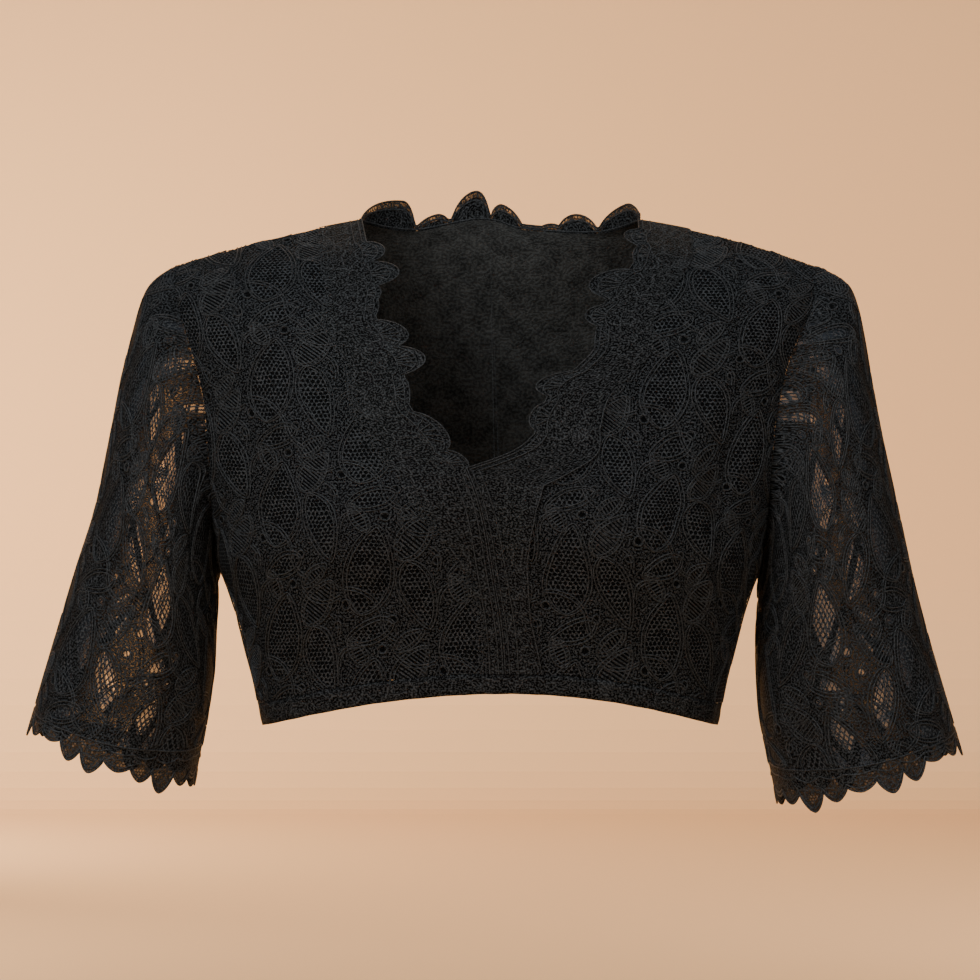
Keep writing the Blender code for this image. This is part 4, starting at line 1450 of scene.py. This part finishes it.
# %% Run a tree and keep its mesh
def grown(name, source, group, **values):
    """The evaluated result of a tree on the mesh of source, as a plain mesh object."""
    carrier = placed(name + "_source", source.data)
    modifier = carrier.modifiers.new("nodes", "NODES")
    modifier.node_group = group
    labels = {item.name: item.identifier for item in group.interface.items_tree if item.in_out == "INPUT"}
    for label, value in values.items():
        modifier[labels[label.replace("_", " ")]] = value
    bpy.context.view_layer.update()
    evaluated = carrier.evaluated_get(bpy.context.evaluated_depsgraph_get())
    mesh = bpy.data.meshes.new_from_object(evaluated)
    mesh.name = name
    bpy.data.objects.remove(carrier, do_unlink=True)
    print(name, sum(len(face.vertices) - 2 for face in mesh.polygons), "triangles")
    return placed(name, mesh)


laying = lattice_tree()
sweeping = plain_cord_tree()
cords = {}
for name, cloth in (
    ("front_lace_cords", front_lace),
    ("back_lace_cords", back_lace),
    ("sleeve_lace_cords_right", sleeve_lace["right"]),
    ("sleeve_lace_cords_left", sleeve_lace["left"]),
):
    cords[name] = grown(name, tile, laying, Panel=cloth, Thread=cord)
bpy.data.objects.remove(tile, do_unlink=True)

# %% [markdown]
# ## Cords of the border
#
# Each lobe has three outlines, one on its edge and two inside it, and a small fan of bars between
# the inner two. The lower half of the left border has a straight cord on its seam side too.

# %% Border cords
EDGE_INSET = 0.5
SECOND_INSET = 3.0
SECOND_SHARE = 0.82
THIRD_SHARE = 0.35
THIRD_INSETS = 2.4
FAN_BARS = 5
FAN_SPREAD = 0.6
FAN_ROOT = 0.35
FAN_STEPS = 4
CORD_LIFT = 0.5
BORDER_RADIUS = 0.00045
RIM_RADIUS = 0.0006


def strip_cords(strip, scallops, firm_rim):
    lines = Lines()
    edge = -strip.reach
    above = strip.reach > 0
    second = np.where(above, edge * SECOND_SHARE + SECOND_INSET, EDGE_INSET + SECOND_INSET)
    third = np.where(above, edge * THIRD_SHARE + THIRD_INSETS * SECOND_INSET, 3 * SECOND_INSET)
    for distances in (edge + EDGE_INSET, second, third):
        lines.add(strip.line(distances))
    if firm_rim:
        lines.add(strip.line(strip.widths - EDGE_INSET)[: len(strip.rows) // 2])
    heights = strip.rows[:, 0, 2]

    def row_at(height):
        return int(np.argmin(np.abs(heights - height)))

    for tip, half_width, _ in scallops:
        base = row_at(tip)
        for spread in np.linspace(-FAN_SPREAD, FAN_SPREAD, FAN_BARS):
            end = row_at(tip + spread * half_width)
            start = int(round(base + (end - base) * FAN_ROOT))
            path = []
            for share in np.linspace(0, 1, FAN_STEPS):
                row = int(round(start + (end - start) * share))
                path.append(point_at(strip.rows[row], third[start] * (1 - share) + second[end] * share))
            lines.add(path)
    return lines


def lifted(lines, distance):
    """The same lines, a little in front of the cloth."""
    points = np.array(lines.points)
    points[:, 1] -= distance
    lines.points = points.tolist()
    return lines


def swept(name, lines, radius):
    source = lines.object(name + "_lines")
    obj = grown(name, source, sweeping, Cord_radius=radius, Thread=cord)
    bpy.data.objects.remove(source, do_unlink=True)
    return obj


for side, scallops, firm_rim in (("right", SCALLOPS_RIGHT, False), ("left", SCALLOPS_LEFT, True)):
    name = f"neck_border_cords_{side}"
    lines = lifted(strip_cords(strips[side], scallops, firm_rim), CORD_LIFT)
    cords[name] = swept(name, lines, BORDER_RADIUS)

# %% Cords of the back neck and the sleeve edges
NAPE_CORDS = ((1.0, 0.4), (0.72, 0.8), (0.0, -1.0))
NAPE_LEAST_CORD = 0.3
EDGING_CORDS = ((0.5, 1.0), (3.0, 1.0), (0.0, 0.3), (0.0, 0.02))
lines = Lines()
for share, inset in NAPE_CORDS:
    rise = np.maximum(nape_reach * share - inset, NAPE_LEAST_CORD)
    lines.add(nape_top + np.outer(rise, (0, STANDING_LEAN, 1)))
lines.add(nape[0])
cords["neck_border_cords_back"] = swept("neck_border_cords_back", lines, RIM_RADIUS)
for side in ("right", "left"):
    lines = Lines()
    for inset, share in EDGING_CORDS:
        lines.add(edging_lines(sleeves[side], [share], inset)[0][:-1], closed=True)
    name = f"sleeve_edging_cords_{side}"
    cords[name] = swept(name, lines, RIM_RADIUS)

# %% [markdown]
# ## What each piece stands for
#
# Every piece rides on the one body and names the CAD node that it dresses, which is hidden. The
# cloths also say how large they were cut.

DRESSES = (
    (front_lace, "front", "black_lace"),
    (back_lace, "back", "black_lace"),
    (front_lining, "front_lining", "black_jersey"),
    (back_lining, "back_lining", "black_jersey"),
    (sleeve_lace["right"], "sleeve_right", "black_lace"),
    (sleeve_lace["left"], "sleeve_left", "black_lace"),
    (edgings["right"], "sleeve_edging_right", "black_galloon"),
    (edgings["left"], "sleeve_edging_left", "black_galloon"),
    (borders["right"], "neck_border_right", "black_galloon"),
    (borders["left"], "neck_border_left", "black_galloon"),
    (borders["back"], "neck_border_back", "black_galloon"),
    (casing_front, "hem_casing_front", "black_galloon"),
    (casing_back, "hem_casing_back", "black_galloon"),
)
for piece, node, slot in DRESSES:
    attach(piece, "root")
    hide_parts(node)
for piece in cords.values():
    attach(piece, "root")


def declare(piece, flat, cut_area):
    print(piece.name, "cut", flat, "area", round(cut_area, 4), "made", round(area_of(piece), 4))


declare(
    front_lace,
    (0.50, 0.36),
    0.125,
)
declare(
    back_lace,
    (0.50, 0.37),
    0.135,
)
declare(front_lining, (0.50, 0.36), 0.125)
declare(back_lining, (0.50, 0.37), 0.135)
for side in ("right", "left"):
    declare(sleeve_lace[side], (0.38, 0.32), 0.09)

# %% [markdown]
# ## The studio
#
# A pale sweep of paper gives the floor and the wall in one curve. Three large cool lamps stand
# before the blouse, and four warm ones behind it light the paper.

# %% Paper and lamps
FLOOR_Z = -0.62
WALL_Y = 3.3
COVE_RADIUS = 0.35
COVE_STEPS = 12
PAPER_NEAR_Y = -8.0
PAPER_TOP = 6.0
PAPER_HALF_WIDTH = 8.0
PAPER_COLOUR = (0.86, 0.55, 0.295, 1)
PAPER_ROUGHNESS = 0.9
WARM = (1.0, 0.80, 0.58)
COOL = (0.94, 0.98, 1.0)
SKY_COLOUR = (0.93, 0.97, 1.0, 1)
SKY_STRENGTH = 0.24
LAMPS = (
    # name, place, size, watts, colour, target
    ("key", (-1.5, -2.2, 1.5), 1.2, 62.0, COOL, (0.0, 0.0, -0.17)),
    ("fill", (1.9, -2.2, 0.4), 2.2, 24.0, COOL, (0.0, 0.0, -0.17)),
    ("top", (0.0, -0.6, 2.0), 2.0, 12.0, COOL, (0.0, 0.0, -0.17)),
    ("wall_left", (-1.3, 0.9, 0.0), 1.0, 27.0, WARM, (-0.9, 3.3, -0.2)),
    ("wall_right", (1.3, 0.9, 0.0), 1.0, 21.0, WARM, (0.9, 3.3, -0.2)),
    ("wall_glow", (-1.15, 2.2, -0.05), 0.5, 18.0, WARM, (-0.4, 3.3, -0.1)),
    ("wall_floor", (0.0, 2.0, 1.2), 1.0, 9.0, WARM, (0.0, 1.4, -0.62)),
)


def paper_sweep():
    """One sheet of paper: floor, a round cove and the wall."""
    turn = np.linspace(0, np.pi / 2, COVE_STEPS + 1)
    cove_y = WALL_Y - COVE_RADIUS + COVE_RADIUS * np.sin(turn)
    cove_z = FLOOR_Z + COVE_RADIUS - COVE_RADIUS * np.cos(turn)
    profile = [(PAPER_NEAR_Y, FLOOR_Z), *zip(cove_y.tolist(), cove_z.tolist()), (WALL_Y, PAPER_TOP)]
    verts = [(x, y, z) for y, z in profile for x in (-PAPER_HALF_WIDTH, PAPER_HALF_WIDTH)]
    faces = [(2 * k, 2 * k + 1, 2 * k + 3, 2 * k + 2) for k in range(len(profile) - 1)]
    mesh = bpy.data.meshes.new("paper_sweep")
    mesh.from_pydata(verts, [], faces)
    paper = bpy.data.materials.new("pale_paper")
    paper.use_nodes = True
    shader = paper.node_tree.nodes["Principled BSDF"]
    shader.inputs["Base Color"].default_value = PAPER_COLOUR
    shader.inputs["Roughness"].default_value = PAPER_ROUGHNESS
    mesh.materials.append(paper)
    placed("paper_sweep", mesh)


def aim(obj, target):
    dx, dy, dz = (t - p for t, p in zip(target, obj.location))
    obj.rotation_euler = (math.atan2(math.hypot(dx, dy), -dz), 0, math.atan2(-dx, dy))


def light_studio():
    for name, place, size, watts, colour, target in LAMPS:
        data = bpy.data.lights.new(name, "AREA")
        data.size = size
        data.energy = watts
        data.color = colour
        lamp = placed(name, data)
        lamp.location = place
        aim(lamp, target)
    world = bpy.data.worlds.new("studio")
    world.use_nodes = True
    sky = world.node_tree.nodes["Background"]
    sky.inputs["Color"].default_value = SKY_COLOUR
    sky.inputs["Strength"].default_value = SKY_STRENGTH
    bpy.context.scene.world = world


paper_sweep()
light_studio()
print("lamps:", [lamp[0] for lamp in LAMPS])
